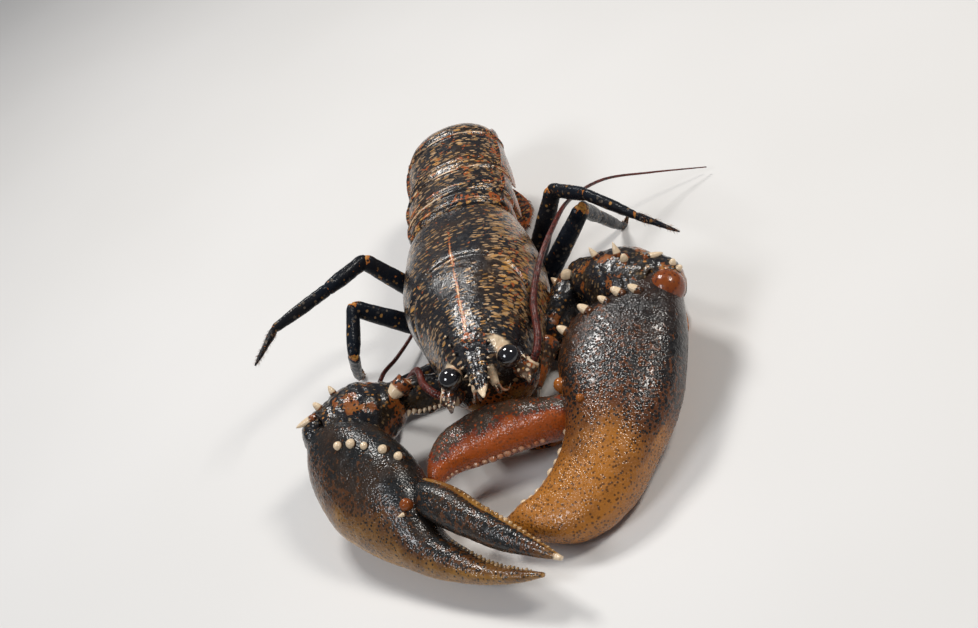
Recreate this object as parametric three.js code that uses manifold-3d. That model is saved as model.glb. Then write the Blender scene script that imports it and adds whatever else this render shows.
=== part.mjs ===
// American lobster, life size, at rest with its claws crossed in front and its tail curled under.
// Millimetres, +Z up, floor at z = 0. The head points to -Y and the lobster's left is +X.
// The origin lies on the floor under the middle of the thorax.
import * as THREE from "three";
import { mergeVertices } from "three/addons/utils/BufferGeometryUtils.js";
import Module from "manifold-3d";

const wasm = await Module();
wasm.setup();

// Driving dimensions
const GAP = 0.3; // between pieces that touch
const CARAPACE_REAR = 91; // distance of the rear margin behind the origin
const CARAPACE_FRONT = -69; // orbit margin
const CARAPACE_HALF_WIDTH = 50;
const CARAPACE_TOP = 96;
const STERNUM_TOP = 12; // height of the carapace's underside
const ROSTRUM_TIP = -101;
const ROSTRUM_HEIGHT = 76;
const EYE_RADIUS = 7.5;
const TAIL_WIDTHS = [38, 41, 41, 39, 36.5, 34, 31]; // half widths at the segments' ends
const TAIL_TOP = 91;
const TAIL_TURN = 188; // where the tail starts to curl down
const TAIL_SWING = 5; // how far the tail sways to the lobster's left
const TAIL_THICKNESS = 42;
const TAIL_ARCH = 27; // height of the arched back above a segment's widest place
const SEGMENT_LENGTHS = [17, 29, 50, 39, 36.5, 40];
const FAN_LENGTH = 62;
const FAN_THICKNESS = 3.4;
const LEG_SIDES = 8;
const CURL_RADIUS = TAIL_TOP / 2;

const COLOURS = {
  shell: 0x1b1a1d,
  mottled: 0x33271c,
  claw: 0x8a4a1c,
  leg: 0x17202b,
  joint: 0xb06a2c,
  feeler: 0x4a1410,
  eye: 0x060607,
};

const group = new THREE.Group();
const vec = (x, y, z) => new THREE.Vector3(x, y, z);
const along = (a, b, t) => a.clone().lerp(b, t);
const off = (point, direction, by) => point.clone().addScaledVector(direction, by);
const UP = vec(0, 0, 1);
const SIDE = vec(1, 0, 0);

// A closed loop of points: a superellipse in the plane of two directions, which may be deeper below
// its centre than above it, flattened where it meets the floor.
function ring(centre, across, up, halfWidth, halfHeight, sides, power = 2, halfDepth = halfHeight) {
  const bend = (value) => Math.sign(value) * Math.abs(value) ** (2 / power);
  return Array.from({ length: sides }, (_, i) => {
    const angle = (2 * Math.PI * (i + 0.5)) / sides;
    const point = centre
      .clone()
      .addScaledVector(across, halfWidth * bend(Math.cos(angle)))
      .addScaledVector(up, (Math.sin(angle) > 0 ? halfHeight : halfDepth) * bend(Math.sin(angle)));
    point.z = Math.max(point.z, 0);
    return point;
  });
}

// Turns a geometry into a solid, facing outwards.
function solid(geometry) {
  geometry.deleteAttribute("normal");
  geometry.deleteAttribute("uv");
  const merged = mergeVertices(geometry, 1e-4);
  const vertProperties = new Float32Array(merged.attributes.position.array);
  const triVerts = new Uint32Array(merged.index.array);
  const made = new wasm.Manifold(new wasm.Mesh({ numProp: 3, vertProperties, triVerts }));
  if (made.volume() > 0) return made;
  for (let i = 0; i < triVerts.length; i += 3) {
    [triVerts[i], triVerts[i + 1]] = [triVerts[i + 1], triVerts[i]];
  }
  return new wasm.Manifold(new wasm.Mesh({ numProp: 3, vertProperties, triVerts }));
}

// A closed skin over a row of rings, with a flat cap at each end.
function loft(rings) {
  const sides = rings[0].length;
  const corners = rings.flat();
  const faces = [];
  for (let r = 0; r + 1 < rings.length; r++) {
    for (let i = 0; i < sides; i++) {
      const a = r * sides + i;
      const b = r * sides + ((i + 1) % sides);
      faces.push(a, b, b + sides, a, b + sides, a + sides);
    }
  }
  const last = (rings.length - 1) * sides;
  for (let i = 1; i + 1 < sides; i++) {
    faces.push(0, i + 1, i);
    faces.push(last, last + i, last + i + 1);
  }
  const geometry = new THREE.BufferGeometry().setFromPoints(corners);
  geometry.setIndex(faces);
  return solid(geometry);
}

// A limb's skin: one ring at each point, square to the path except where an end normal is given.
function tube(points, sizes, { sides = LEG_SIDES, power = 2, start, end, up = UP } = {}) {
  const last = points.length - 1;
  return loft(
    points.map((point, i) => {
      const back = points[Math.max(i - 1, 0)];
      const ahead = points[Math.min(i + 1, last)];
      let normal = ahead.clone().sub(back).normalize();
      if (i === 0 && start) normal = start;
      if (i === last && end) normal = end;
      const across = up.clone().cross(normal).normalize();
      const high = normal.clone().cross(across).normalize();
      return ring(point, across, high, sizes[i][0], sizes[i][1], sides, power);
    }),
  );
}

// A tapering spine or tooth whose root is sunk below its base point.
function spine(base, direction, radius, length, sides = 5) {
  const aim = direction.clone().normalize();
  const root = base.clone().addScaledVector(aim, -radius);
  const shoulder = base.clone().addScaledVector(aim, 0.35 * length);
  const tip = base.clone().addScaledVector(aim, length);
  const sizes = [radius, 0.85 * radius, 0.18 * radius].map((size) => [size, size]);
  const reference = Math.abs(aim.z) > 0.8 ? SIDE : UP;
  return tube([root, shoulder, tip], sizes, { sides, up: reference });
}

const joined = (body, pieces) => pieces.reduce((sum, piece) => sum.add(piece), body);
const cleared = (body, neighbours) => neighbours.reduce((rest, other) => rest.subtract(other), body);

// Adds a node: the largest closed body of a solid, as a named mesh.
function node(name, body, colour, roughness = 0.35) {
  const largest = body.decompose().sort((a, b) => b.volume() - a.volume())[0];
  const { vertProperties, triVerts } = largest.getMesh();
  const geometry = new THREE.BufferGeometry();
  geometry.setAttribute("position", new THREE.BufferAttribute(new Float32Array(vertProperties), 3));
  geometry.setIndex(new THREE.BufferAttribute(new Uint32Array(triVerts), 1));
  geometry.computeVertexNormals();
  const material = new THREE.MeshStandardMaterial({ color: colour, roughness, metalness: 0 });
  const mesh = new THREE.Mesh(geometry, material);
  mesh.name = name;
  group.add(mesh);
  return largest;
}

// Reads a smooth curve through evenly named stations.
function profile(stations) {
  const curve = new THREE.CatmullRomCurve3(stations.map(([y, w, t]) => vec(y, w, t)), false, "centripetal");
  const low = new THREE.CatmullRomCurve3(stations.map(([y, , , b]) => vec(y, b, 0)), false, "centripetal");
  return (t) => {
    const high = curve.getPoint(t);
    return { y: high.x, halfWidth: high.y, top: high.z, bottom: low.getPoint(t).y };
  };
}

// Carapace: a barrel that narrows to the head. Each station holds its place along the body, its half
// width, its top and its underside.
const CARAPACE_STATIONS = [
  [CARAPACE_REAR, 37, 85, 26],
  [CARAPACE_REAR - 5, 41, 88.5, 20],
  [60, 47, 93.5, STERNUM_TOP],
  [32, CARAPACE_HALF_WIDTH, CARAPACE_TOP, STERNUM_TOP],
  [8, 48, CARAPACE_TOP, STERNUM_TOP],
  [-12, 42, 94, STERNUM_TOP],
  [-35, 34.5, 92, 14],
  [-52, 30, 89, 18],
  [-62, 26, 86, 26],
  [CARAPACE_FRONT, 22, 82, 36],
];
const carapaceAt = profile(CARAPACE_STATIONS);

function carapaceBody(grow) {
  const steps = 17;
  const rings = Array.from({ length: steps + 1 }, (_, i) => {
    const station = carapaceAt(i / steps);
    const end = (i === 0) - (i === steps);
    const middle = (station.top + station.bottom) / 2;
    const half = (station.top - station.bottom) / 2;
    const centre = vec(0, station.y + end * grow, middle);
    return ring(centre, SIDE, UP, station.halfWidth + grow, half + grow, 24, 2.3);
  });
  return loft(rings);
}

// Rostrum: a flattened spike between the eyes with three teeth on each side and a row behind them.
function rostrum(grow) {
  const points = [
    vec(0, -50, 82),
    vec(0, -66, 80.5),
    vec(0, -80, 78.5),
    vec(0, -92, ROSTRUM_HEIGHT + 1),
    vec(0, ROSTRUM_TIP, ROSTRUM_HEIGHT),
  ];
  const sizes = [[13, 6], [8.5, 4.5], [6, 3.6], [4, 2.6], [0.8, 0.6]];
  return tube(points, sizes.map(([w, h]) => [w + grow, h + grow]), { sides: 10, end: vec(0, -1, 0) });
}

function rostrumTeeth() {
  const teeth = [];
  for (const side of [-1, 1]) {
    for (let i = 0; i < 3; i++) {
      const base = vec(side * (6.5 - i), -72 - 8 * i, 80.5 - 0.8 * i);
      teeth.push(spine(base, vec(side * 0.7, -1, 0.5), 1.6, 6 - 0.4 * i));
    }
    for (let i = 0; i < 3; i++) {
      const base = vec(side * (11 + 1.6 * i), -63 + 8 * i, 84.5 + 1.6 * i);
      teeth.push(spine(base, vec(side * 0.35, -1, 0.8), 1.8, 4.6 - 0.8 * i));
    }
    teeth.push(spine(vec(side * 25, -62, 68), vec(side * 0.3, -1, 0.1), 2.6, 12));
  }
  return teeth;
}

const carapace = node(
  "carapace",
  joined(carapaceBody(0), [rostrum(0), ...rostrumTeeth()]),
  COLOURS.shell,
);
const aroundCarapace = carapaceBody(GAP).add(rostrum(GAP));

// Sternum: the flat plate between the legs that the body rests on.
function sternumBody(grow) {
  const stations = [[80, 16], [60, 22], [20, 26], [-25, 22], [-52, 13]];
  const rings = stations.map(([y, halfWidth], i) => {
    const end = (i === 0) - (i === stations.length - 1);
    return [[-0.72, 0], [0.72, 0], [1, 0.45], [1, 1], [-1, 1], [-1, 0.45]].map(([u, v]) =>
      vec(u * (halfWidth + grow), y + end * grow, v * (STERNUM_TOP - GAP + grow)),
    );
  });
  return loft(rings);
}
node("sternum", cleared(sternumBody(0), [aroundCarapace]), COLOURS.joint);
const aroundSternum = sternumBody(GAP);

// Eyes: stalked spheres in the orbits beside the rostrum.
function eye(side) {
  const root = vec(side * 13, -62, 74);
  const aim = vec(side * 0.55, -0.83, 0.05).normalize();
  const at = (distance) => root.clone().addScaledVector(aim, distance);
  const distances = [0, 6, 8.5, 12, 15.5, 18.2, 19.6];
  const shares = [0.62, 0.66, 0.86, 1, 0.86, 0.52, 0.12];
  const sizes = shares.map((share) => [share * EYE_RADIUS, share * EYE_RADIUS]);
  return tube(distances.map(at), sizes, { sides: 12 });
}

// Antennules: a short stalk with two thin feelers that droop in front of the mouth.
function antennule(side) {
  const stalk = tube(
    [vec(side * 5, -60, 70), vec(side * 6, -74, 69), vec(side * 6.5, -83, 68)],
    [[3.4, 3], [3.2, 2.8], [2.4, 2.2]],
    { sides: 8 },
  );
  const feelers = [0, 1].map((i) => {
    const root = vec(side * (5.4 + 2 * i), -82, 68);
    const bend = vec(side * (6 + 3 * i), -92, 62);
    const curve = new THREE.QuadraticBezierCurve3(root, bend, vec(side * (7 + 6 * i), -76, 57));
    const points = curve.getPoints(6);
    const sizes = points.map((_, k) => [1.15 - 0.13 * k, 1.15 - 0.13 * k]);
    return tube(points, sizes, { sides: 5, up: SIDE });
  });
  return joined(stalk, feelers);
}

// Direction in which an antenna leaves its base.
const ANTENNA_TURN = (side) => vec(side * 0.7, 0.45, 0.55).normalize();

// Antenna base: three thick joints with a pointed scale on the outer side.
function peduncle(side) {
  const stalk = tube(
    [vec(side * 19, -56, 58), vec(side * 22, -66, 58), vec(side * 26, -70.5, 59), vec(side * 31, -69, 62)],
    [[7.5, 7.5], [7.2, 7.2], [6, 6], [4.4, 4.4]],
    { sides: 10, end: ANTENNA_TURN(side) },
  );
  const scale = tube(
    [vec(side * 21, -60, 62), vec(side * 25, -74, 63), vec(side * 26, -86, 61)],
    [[5, 2.4], [4.6, 2], [0.8, 0.5]],
    { sides: 8 },
  );
  return stalk.add(scale);
}

// Third maxillipeds: folded feeding legs under the mouth.
function maxilliped(side) {
  return tube(
    [
      vec(side * 8, -42, 8),
      vec(side * 9.5, -53, 9),
      vec(side * 9.5, -61, 13),
      vec(side * 8, -65, 20),
      vec(side * 6, -66, 28),
    ],
    [[5, 5.5], [5.2, 6], [4.4, 5], [3.4, 3.6], [1.2, 1.2]],
    { sides: 8, start: vec(0, -1, 0) },
  );
}

const SIDES = [
  ["left", 1],
  ["right", -1],
];
const aroundHead = [aroundCarapace, aroundSternum];
for (const [side, sign] of SIDES) {
  node(`eye_${side}`, cleared(eye(sign), [aroundCarapace]), COLOURS.eye, 0.1);
  node(`antennule_${side}`, cleared(antennule(sign), [aroundCarapace]), COLOURS.feeler);
  node(`antenna_base_${side}`, cleared(peduncle(sign), [aroundCarapace]), COLOURS.mottled);
  node(`maxilliped_${side}`, cleared(maxilliped(sign), aroundHead), COLOURS.leg);
}

// Antennae: long tapering feelers, each in two lengths that meet face to face.
function feeler(name, side, route, baseRadius) {
  const steps = 30;
  const turn = ANTENNA_TURN(side);
  const root = off(vec(side * 31, -69, 62), turn, GAP);
  const curve = new THREE.CatmullRomCurve3([root, off(root, turn, 5), ...route]);
  const points = curve.getSpacedPoints(steps);
  const sizes = points.map((_, i) => {
    const radius = baseRadius * (1 - (0.84 * i) / steps);
    return [radius, radius];
  });
  const parted = 15;
  const direction = points[parted + 1].clone().sub(points[parted - 1]).normalize();
  const front = [...points.slice(0, parted), off(points[parted], direction, -GAP / 2)];
  const back = [off(points[parted], direction, GAP / 2), ...points.slice(parted + 1)];
  const near = tube(front, sizes.slice(0, parted + 1), { sides: 6, start: turn, end: direction });
  const far = tube(back, sizes.slice(parted), { sides: 6, start: direction });
  node(`antenna_${name}`, near, COLOURS.feeler);
  node(`antenna_tip_${name}`, far, COLOURS.feeler);
}
feeler(
  "left",
  1,
  [
    vec(37, -60, 66),
    vec(42, -26, 73),
    vec(53, 4, 78),
    vec(68, 38, 77),
    vec(83, 80, 64),
    vec(108, 111, 48),
    vec(141, 129, 26),
    vec(181, 137, 6),
  ],
  2.8,
);
feeler(
  "right",
  -1,
  [
    vec(-39, -60, 66),
    vec(-43, -48, 61),
    vec(-46, -32, 57),
    vec(-53, -14, 46),
    vec(-68, -5, 31),
    vec(-83, 3, 22),
    vec(-91, 15, 20),
    vec(-88, 29, 19.5),
    vec(-78, 48, 15),
    vec(-65, 70, 13),
    vec(-52, 103, 11),
    vec(-50, 143, 8),
    vec(-52, 193, 3),
  ],
  2.8,
);

// Tail: the path of its outer side runs level to the turn and then round a circle to the floor, and
// sways to one side on the way.
function tailPath(distance, depth) {
  const level = TAIL_TURN - CARAPACE_REAR;
  const sway = TAIL_SWING * Math.sin((Math.PI / 2) * Math.min(distance / level, 2.3));
  if (distance <= level) {
    return { point: vec(sway, CARAPACE_REAR + distance, TAIL_TOP - depth), out: UP.clone() };
  }
  const angle = Math.min((distance - level) / CURL_RADIUS, Math.PI);
  const flat = Math.max(distance - level - Math.PI * CURL_RADIUS, 0);
  const out = vec(0, Math.sin(angle), Math.cos(angle));
  const point = vec(sway, TAIL_TURN - flat, CURL_RADIUS).addScaledVector(out, CURL_RADIUS - depth);
  return { point, out };
}

// A pleuron: the pointed plate that hangs at each side of a segment, shorter where the tail curls.
function pleuron(start, length, halfWidth, sign, curled) {
  const shares = curled ? [0.45, 0.66, 0.84] : [0.5, 0.88, 1.3];
  const spans = [0.4, 0.33, 0.05];
  const rings = shares.map((share, i) => {
    const depth = share * TAIL_THICKNESS;
    const { point, out } = tailPath(start + (0.5 + 0.06 * i) * length, depth);
    const tangent = out.clone().cross(SIDE).negate();
    point.x += sign * (halfWidth - [3.4, 3, 4][i]);
    const narrowing = curled ? 1 - depth / CURL_RADIUS : 1;
    return ring(point, tangent, SIDE, spans[i] * length * narrowing, [3, 2.4, 0.8][i], 8);
  });
  return loft(rings);
}

function tailSegment(index) {
  const start = SEGMENT_LENGTHS.slice(0, index).reduce((sum, length) => sum + length, 0);
  const length = SEGMENT_LENGTHS[index];
  const [front, rear] = [TAIL_WIDTHS[index], TAIL_WIDTHS[index + 1]];
  const steps = index < 2 ? 3 : 5;
  const rings = Array.from({ length: steps + 1 }, (_, i) => {
    const share = i / steps;
    const inset = i === 0 ? 1.6 : 0.5 * (1 - share);
    const halfWidth = front + (rear - front) * share - inset;
    const distance = start + GAP / 2 + share * (length - GAP);
    const thin = index === 5 ? 8 * share : 0;
    const { point, out } = tailPath(distance, TAIL_ARCH);
    const low = TAIL_THICKNESS - TAIL_ARCH - thin - inset;
    return ring(point, SIDE, out, halfWidth, TAIL_ARCH - inset, 20, 2.1, low);
  });
  if (index === 5) return loft(rings);
  const plates = SIDES.map(([, sign]) => pleuron(start, length, (front + rear) / 2, sign, index > 2));
  return joined(loft(rings), plates);
}
const SEGMENTS_TOTAL = SEGMENT_LENGTHS.reduce((sum, length) => sum + length, 0);
SEGMENT_LENGTHS.forEach((_, index) => {
  const behindCarapace = index === 0 ? [aroundCarapace] : [];
  node(`tail_segment_${index + 1}`, cleared(tailSegment(index), behindCarapace), COLOURS.mottled);
});

// Tail fan: the telson and two blades on each side, one over another, that lie forward on the floor.
function fanBlade(layer, rootX, tipX, halfWidths, length) {
  const steps = halfWidths.length - 1;
  const depth = layer * (FAN_THICKNESS + GAP) + FAN_THICKNESS / 2;
  const rings = halfWidths.map((halfWidth, i) => {
    const share = i / steps;
    const { point, out } = tailPath(SEGMENTS_TOTAL + GAP / 2 + share * length, depth);
    point.x = rootX + (tipX - rootX) * share;
    return ring(point, SIDE, out, halfWidth, (FAN_THICKNESS / 2) * (1 - 0.35 * share), 10, 3);
  });
  return loft(rings);
}
node("telson", fanBlade(0, 0, 0, [15, 18, 19, 18.5, 18, 17, 14, 7], FAN_LENGTH), COLOURS.mottled);
for (const [side, sign] of SIDES) {
  node(
    `uropod_inner_${side}`,
    fanBlade(1, sign * 18, sign * 25, [7, 11, 14, 15.5, 16, 15.5, 13, 6], FAN_LENGTH + 4),
    COLOURS.mottled,
  );
  node(
    `uropod_outer_${side}`,
    fanBlade(2, sign * 24, sign * 33, [6, 10, 13, 14.5, 15, 14.5, 12, 6], FAN_LENGTH + 2),
    COLOURS.mottled,
  );
}

// Walking legs: each has an upper length, a short middle length and a pointed foot. Lengths run along
// the leg; turns hold the compass bearing (0 is forward, 90 is straight out) and the rise of each length.
const LEG_LENGTHS = { hip: 16, upper: 76, middle: 35, foot: 46, claw: 34 };

function legJoints(sign, station, scale, turns) {
  const joints = [vec(sign * 20, station, 9)];
  Object.values(LEG_LENGTHS).forEach((length, i) => {
    const [bearing, rise] = turns[i].map(THREE.MathUtils.degToRad);
    const direction = vec(
      sign * Math.sin(bearing) * Math.cos(rise),
      -Math.cos(bearing) * Math.cos(rise),
      Math.sin(rise),
    );
    joints.push(joints[i].clone().addScaledVector(direction, length * scale));
  });
  return joints;
}

const between = (a, b, c) => b.clone().sub(a).normalize().add(c.clone().sub(b).normalize()).normalize();

// The first two pairs end in a small pincer: a second finger beside the tip.
const PINCERED = /^[12]/;

function pincerFinger(joints, scale) {
  const [, , , , ankle, tip] = joints;
  const aside = UP.clone().cross(tip.clone().sub(ankle)).normalize();
  const points = [
    along(ankle, tip, -0.2),
    off(along(ankle, tip, 0.15), aside, 3.6 * scale),
    off(along(ankle, tip, 0.6), aside, 4.6 * scale),
    off(along(ankle, tip, 0.98), aside, 1.9 * scale),
  ];
  const sizes = [2.2, 2.3, 1.7, 0.8].map((size) => [size * scale, size * 1.15 * scale]);
  return tube(points, sizes);
}

function leg(name, joints, scale, blockers) {
  const [root, hip, knee, wrist, ankle, tip] = joints;
  const kneeTurn = between(hip, knee, wrist);
  const wristTurn = between(knee, wrist, ankle);
  const size = (w, h) => [w * scale, h * scale];
  const upper = tube(
    [root, hip, ...[0.25, 0.6, 0.88].map((share) => along(hip, knee, share)), off(knee, kneeTurn, -GAP / 2)],
    [size(5.5, 6.5), size(5, 6.5), size(5, 7.6), size(4.8, 7.4), size(4.6, 6.4), size(4, 6)],
    { end: kneeTurn },
  );
  const middle = tube(
    [
      off(knee, kneeTurn, GAP / 2),
      along(knee, wrist, 0.28),
      along(knee, wrist, 0.8),
      off(wrist, wristTurn, -GAP / 2),
    ],
    [size(4, 6), size(4.4, 5.8), size(4.6, 5.6), size(3.8, 4.8)],
    { start: kneeTurn, end: wristTurn },
  );
  const foot = tube(
    [
      off(wrist, wristTurn, GAP / 2),
      along(wrist, ankle, 0.2),
      along(wrist, ankle, 0.85),
      ankle,
      along(ankle, tip, 0.5),
      tip,
    ],
    [size(3.8, 4.8), size(3.8, 4.8), size(3, 3.8), size(2.4, 3), size(1.8, 2.2), size(0.9, 1)],
    { start: wristTurn },
  );
  node(`leg_upper_${name}`, cleared(upper, blockers), COLOURS.leg);
  node(`leg_middle_${name}`, middle, COLOURS.leg);
  node(`leg_foot_${name}`, PINCERED.test(name) ? foot.add(pincerFinger(joints, scale)) : foot, COLOURS.leg);
}

const LEG_POSES = [
  ["1_left", 1, 2, 0.8, [[70, 0], [46, 0], [-23, -4], [-75, -5], [-100, -6]]],
  ["2_left", 1, 28, 0.9, [[98, 5], [108, 0], [58, -5], [-3, -5], [-13, -6]]],
  ["3_left", 1, 57, 0.98, [[88, 18], [94, 44], [164, -48], [158, -50], [155, -40]]],
  ["4_left", 1, 82, 0.95, [[88, 20], [91, 57], [40, 5], [37, -10], [50, -22]]],
  ["1_right", -1, 2, 0.72, [[90, 0], [90, 0], [12, -4], [2, -6], [-18, -7]]],
  ["2_right", -1, 28, 0.85, [[90, 0], [86, 0], [42, -4], [7, -5], [-13, -6]]],
  ["3_right", -1, 52, 1, [[98, 10], [86, 48], [17, -30], [150, -52], [173, -40]]],
  ["4_right", -1, 86, 1, [[92, 10], [88, 62], [52, 6], [62, 1], [27, -3]]],
];
const blockers = [aroundCarapace, aroundSternum];
for (const [name, sign, station, scale, turns] of LEG_POSES) {
  leg(name, legJoints(sign, station, scale, turns), scale, blockers);
}

// Claws: a flat frame at the wrist. Its first direction runs to the finger tips, its second to the
// outer edge and its third out of the broad upper face.
function clawFrame(wrist, heading, pitch, roll, sign) {
  const [h, p, r] = [heading, pitch, roll].map(THREE.MathUtils.degToRad);
  const ahead = vec(-sign * Math.sin(h) * Math.cos(p), -Math.cos(h) * Math.cos(p), -Math.sin(p));
  const level = vec(sign * Math.cos(h), -Math.sin(h), 0);
  const face = ahead.clone().cross(level).normalize();
  if (face.z < 0) face.negate();
  const outward = level.clone().multiplyScalar(Math.cos(r)).addScaledVector(face, -Math.sin(r));
  const normal = face.clone().multiplyScalar(Math.cos(r)).addScaledVector(level, Math.sin(r));
  const at = (s, a, n = 0) =>
    wrist.clone().addScaledVector(ahead, s).addScaledVector(outward, a).addScaledVector(normal, n);
  return { ahead, outward, normal, at };
}

// A palm or finger between an outer and an inner edge. Each row holds the outer edge's place along
// and across the claw, the inner edge's place, and the thickness there.
function bladeBody(frame, rows, steps, sides, grow = 0) {
  const curve = (pick) => new THREE.CatmullRomCurve3(rows.map(pick), false, "centripetal");
  const outer = curve(([s, a, , , t]) => vec(s, a, t));
  const inner = curve(([, , s, a, t]) => vec(s, a, t));
  const rings = Array.from({ length: steps + 1 }, (_, i) => {
    const o = outer.getPoint(i / steps);
    const n = inner.getPoint(i / steps);
    const middle = frame.at((o.x + n.x) / 2, (o.y + n.y) / 2);
    const across = frame.at(o.x, o.y).sub(frame.at(n.x, n.y));
    const half = across.length() / 2;
    const thick = (o.z + n.z) / 4;
    return ring(middle, across.normalize(), frame.normal, half + grow, thick + grow, sides, 2.25);
  });
  return loft(rings);
}

const CRUSHER = clawFrame(vec(116.5, -36, 48), 48.5, 10, 11, 1);
const CRUSHER_PALM = [
  [-8, 13, -4, -13, 30],
  [14, 30, 14, -22, 40],
  [42, 45, 38, -38, 48],
  [72, 55, 66, -34, 52],
  [98, 57, 90, -16, 50],
  [128, 59, 112, 0, 42],
  [150, 54, 132, 5, 34],
  [166, 42, 150, 4, 26],
  [176, 20, 163, -2, 18],
  [181, 2, 178, -6, 6],
];
const CRUSHER_DACTYL = [
  [92, -20, 112, -6, 32],
  [102, -40, 120, -14, 32],
  [114, -57, 130, -24, 30],
  [130, -70, 141, -34, 27],
  [146, -76, 151, -44, 24],
  [160, -75, 160, -53, 20],
  [172, -68, 169, -57, 14],
  [178, -60, 177, -58, 5],
];
const CUTTER = clawFrame(vec(-121, -46, 51), 40.2, 6.5, 40, -1);
const CUTTER_PALM = [
  [2, 12, 8, -10, 28],
  [10, 27, 22, -19, 36],
  [26, 40, 40, -22, 42],
  [46, 49, 58, -20, 44],
  [70, 50, 80, -14, 42],
  [94, 48, 100, -1, 36],
  [118, 44, 116, 14, 28],
  [143, 38, 140, 18, 22],
  [170, 27, 168, 16, 16],
  [192, 14, 190, 9, 8],
  [200, 8, 199, 6, 4],
];
const CUTTER_DACTYL = [
  [102, -10, 108, 12, 24],
  [118, -12, 122, 12, 24],
  [144, -11, 146, 10, 21],
  [167, -10, 168, 7, 16],
  [190, -9, 190, 1, 10],
  [208, -8, 208, -5, 4],
];

// A row of blunt tubercles between two places on a claw, leaning off its edge.
function tubercles(frame, from, to, count, radius, length, lean) {
  const aim = frame.outward.clone().multiplyScalar(lean).add(frame.normal);
  return Array.from({ length: count }, (_, i) => {
    const share = i / (count - 1);
    const place = from.map((value, k) => value + (to[k] - value) * share);
    const size = radius * (0.85 + 0.3 * Math.abs(Math.sin(2.1 * i + 1)));
    return spine(frame.at(...place), aim, size, length);
  });
}

// Spines on a carpus: each holds its place along the piece, its angle round it, radius and length.
function carpusSpines(bend, wrist, rows) {
  const axis = wrist.clone().sub(bend).normalize();
  const level = UP.clone().cross(axis).normalize();
  const high = axis.clone().cross(level);
  return rows.map(([share, degrees, distance, radius, length]) => {
    const angle = THREE.MathUtils.degToRad(degrees);
    const aim = level.clone().multiplyScalar(Math.cos(angle)).addScaledVector(high, Math.sin(angle));
    return spine(along(bend, wrist, share).addScaledVector(aim, distance), aim, radius, length);
  });
}

// Arm lengths behind a claw: a short root, a deep upper arm and a knobbed carpus.
function arm(side, joints, wristNormal, spines, aroundPalm) {
  const [root, elbow, bend, wrist] = joints;
  const elbowTurn = between(root, elbow, bend);
  const bendTurn = between(elbow, bend, wrist);
  const base = tube(
    [root, along(root, elbow, 0.5), off(elbow, elbowTurn, -GAP / 2)],
    [[9, 8], [9, 9], [9, 10]],
    { sides: 10, end: elbowTurn },
  );
  const upper = tube(
    [
      off(elbow, elbowTurn, GAP / 2),
      along(elbow, bend, 0.4),
      along(elbow, bend, 0.78),
      off(bend, bendTurn, -GAP / 2),
    ],
    [[9, 10], [10, 13], [11, 14], [9, 11]],
    { sides: 12, start: elbowTurn, end: bendTurn },
  );
  const carpus = tube(
    [
      off(bend, bendTurn, GAP / 2),
      along(bend, wrist, 0.24),
      along(bend, wrist, 0.5),
      along(bend, wrist, 0.8),
      off(wrist, wristNormal, -GAP / 2),
    ],
    [[9, 11], [17, 19], [24, 24], [22, 22], [14, 15]],
    { sides: 14, start: bendTurn, end: wristNormal },
  );
  const knobs = carpusSpines(bend, wrist, spines);
  node(`cheliped_base_${side}`, cleared(base, blockers), COLOURS.joint);
  node(`cheliped_arm_${side}`, cleared(upper, blockers), COLOURS.leg);
  node(`cheliped_carpus_${side}`, cleared(joined(carpus, knobs), [aroundPalm]), COLOURS.mottled);
}

const crusherPalm = bladeBody(CRUSHER, CRUSHER_PALM, 18, 20);
const crusherDactyl = bladeBody(CRUSHER, CRUSHER_DACTYL, 12, 14);
const cutterPalm = bladeBody(CUTTER, CUTTER_PALM, 18, 20);
const cutterDactyl = bladeBody(CUTTER, CUTTER_DACTYL, 10, 12);
const aroundCrusher = bladeBody(CRUSHER, CRUSHER_PALM, 18, 20, GAP);
const aroundCutter = bladeBody(CUTTER, CUTTER_PALM, 18, 20, GAP);
const crusherBeads = [
  ...tubercles(CRUSHER, [6, -11, 4], [50, -34, 8], 5, 3.6, 5, -1.4),
  ...tubercles(CRUSHER, [64, -31, 6], [84, -18, 6], 2, 3.2, 4.4, -1.4),
  ...tubercles(CRUSHER, [116, 2, 3], [150, 4, 2], 5, 3.4, 3.4, -3),
];
const cutterBeads = [
  ...tubercles(CUTTER, [24, -12, 10], [92, -4, 8], 6, 3.4, 5, -1.2),
  ...tubercles(CUTTER, [122, 15, 2], [180, 13, 1], 7, 1.9, 3, -3),
];
node("crusher_palm_left", joined(crusherPalm, crusherBeads), COLOURS.claw);
node("crusher_dactyl_left", cleared(crusherDactyl, [aroundCrusher]), COLOURS.claw);
node("cutter_palm_right", joined(cutterPalm, cutterBeads), COLOURS.claw);
node("cutter_dactyl_right", cleared(cutterDactyl, [aroundCutter]), COLOURS.claw);

arm(
  "left",
  [vec(18, -36, 20), vec(36, -14, 30), vec(68, 17, 42), CRUSHER.at(-6, 0)],
  CRUSHER.ahead,
  [
    [0.16, 100, 16, 2.6, 6],
    [0.36, 115, 21, 2.8, 7],
    [0.5, 80, 22, 2.8, 7],
    [0.72, 120, 21, 2.6, 11],
    [0.9, 130, 19, 2.6, 8],
    [0.3, 40, 19, 2.4, 6],
  ],
  aroundCrusher,
);
arm(
  "right",
  [vec(-16, -38, 20), vec(-32, -31, 34), vec(-64, -31, 42), CUTTER.at(6, 0)],
  CUTTER.ahead,
  [
    [0.14, 60, 15, 2.6, 7],
    [0.36, 100, 22, 2.6, 5],
    [0.6, 70, 22, 2.8, 6],
    [0.55, 140, 22, 2.4, 8],
    [0.8, 125, 21, 2.6, 12],
  ],
  aroundCutter,
);

export default group;
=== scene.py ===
"""An american lobster at life size, at rest: claws crossed in front, tail curled under, feelers back.

Lengths are millimetres and become metres where a piece is laid. The head points to -Y, the lobster's
left is +X, and the floor is at z = 0.
"""

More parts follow.
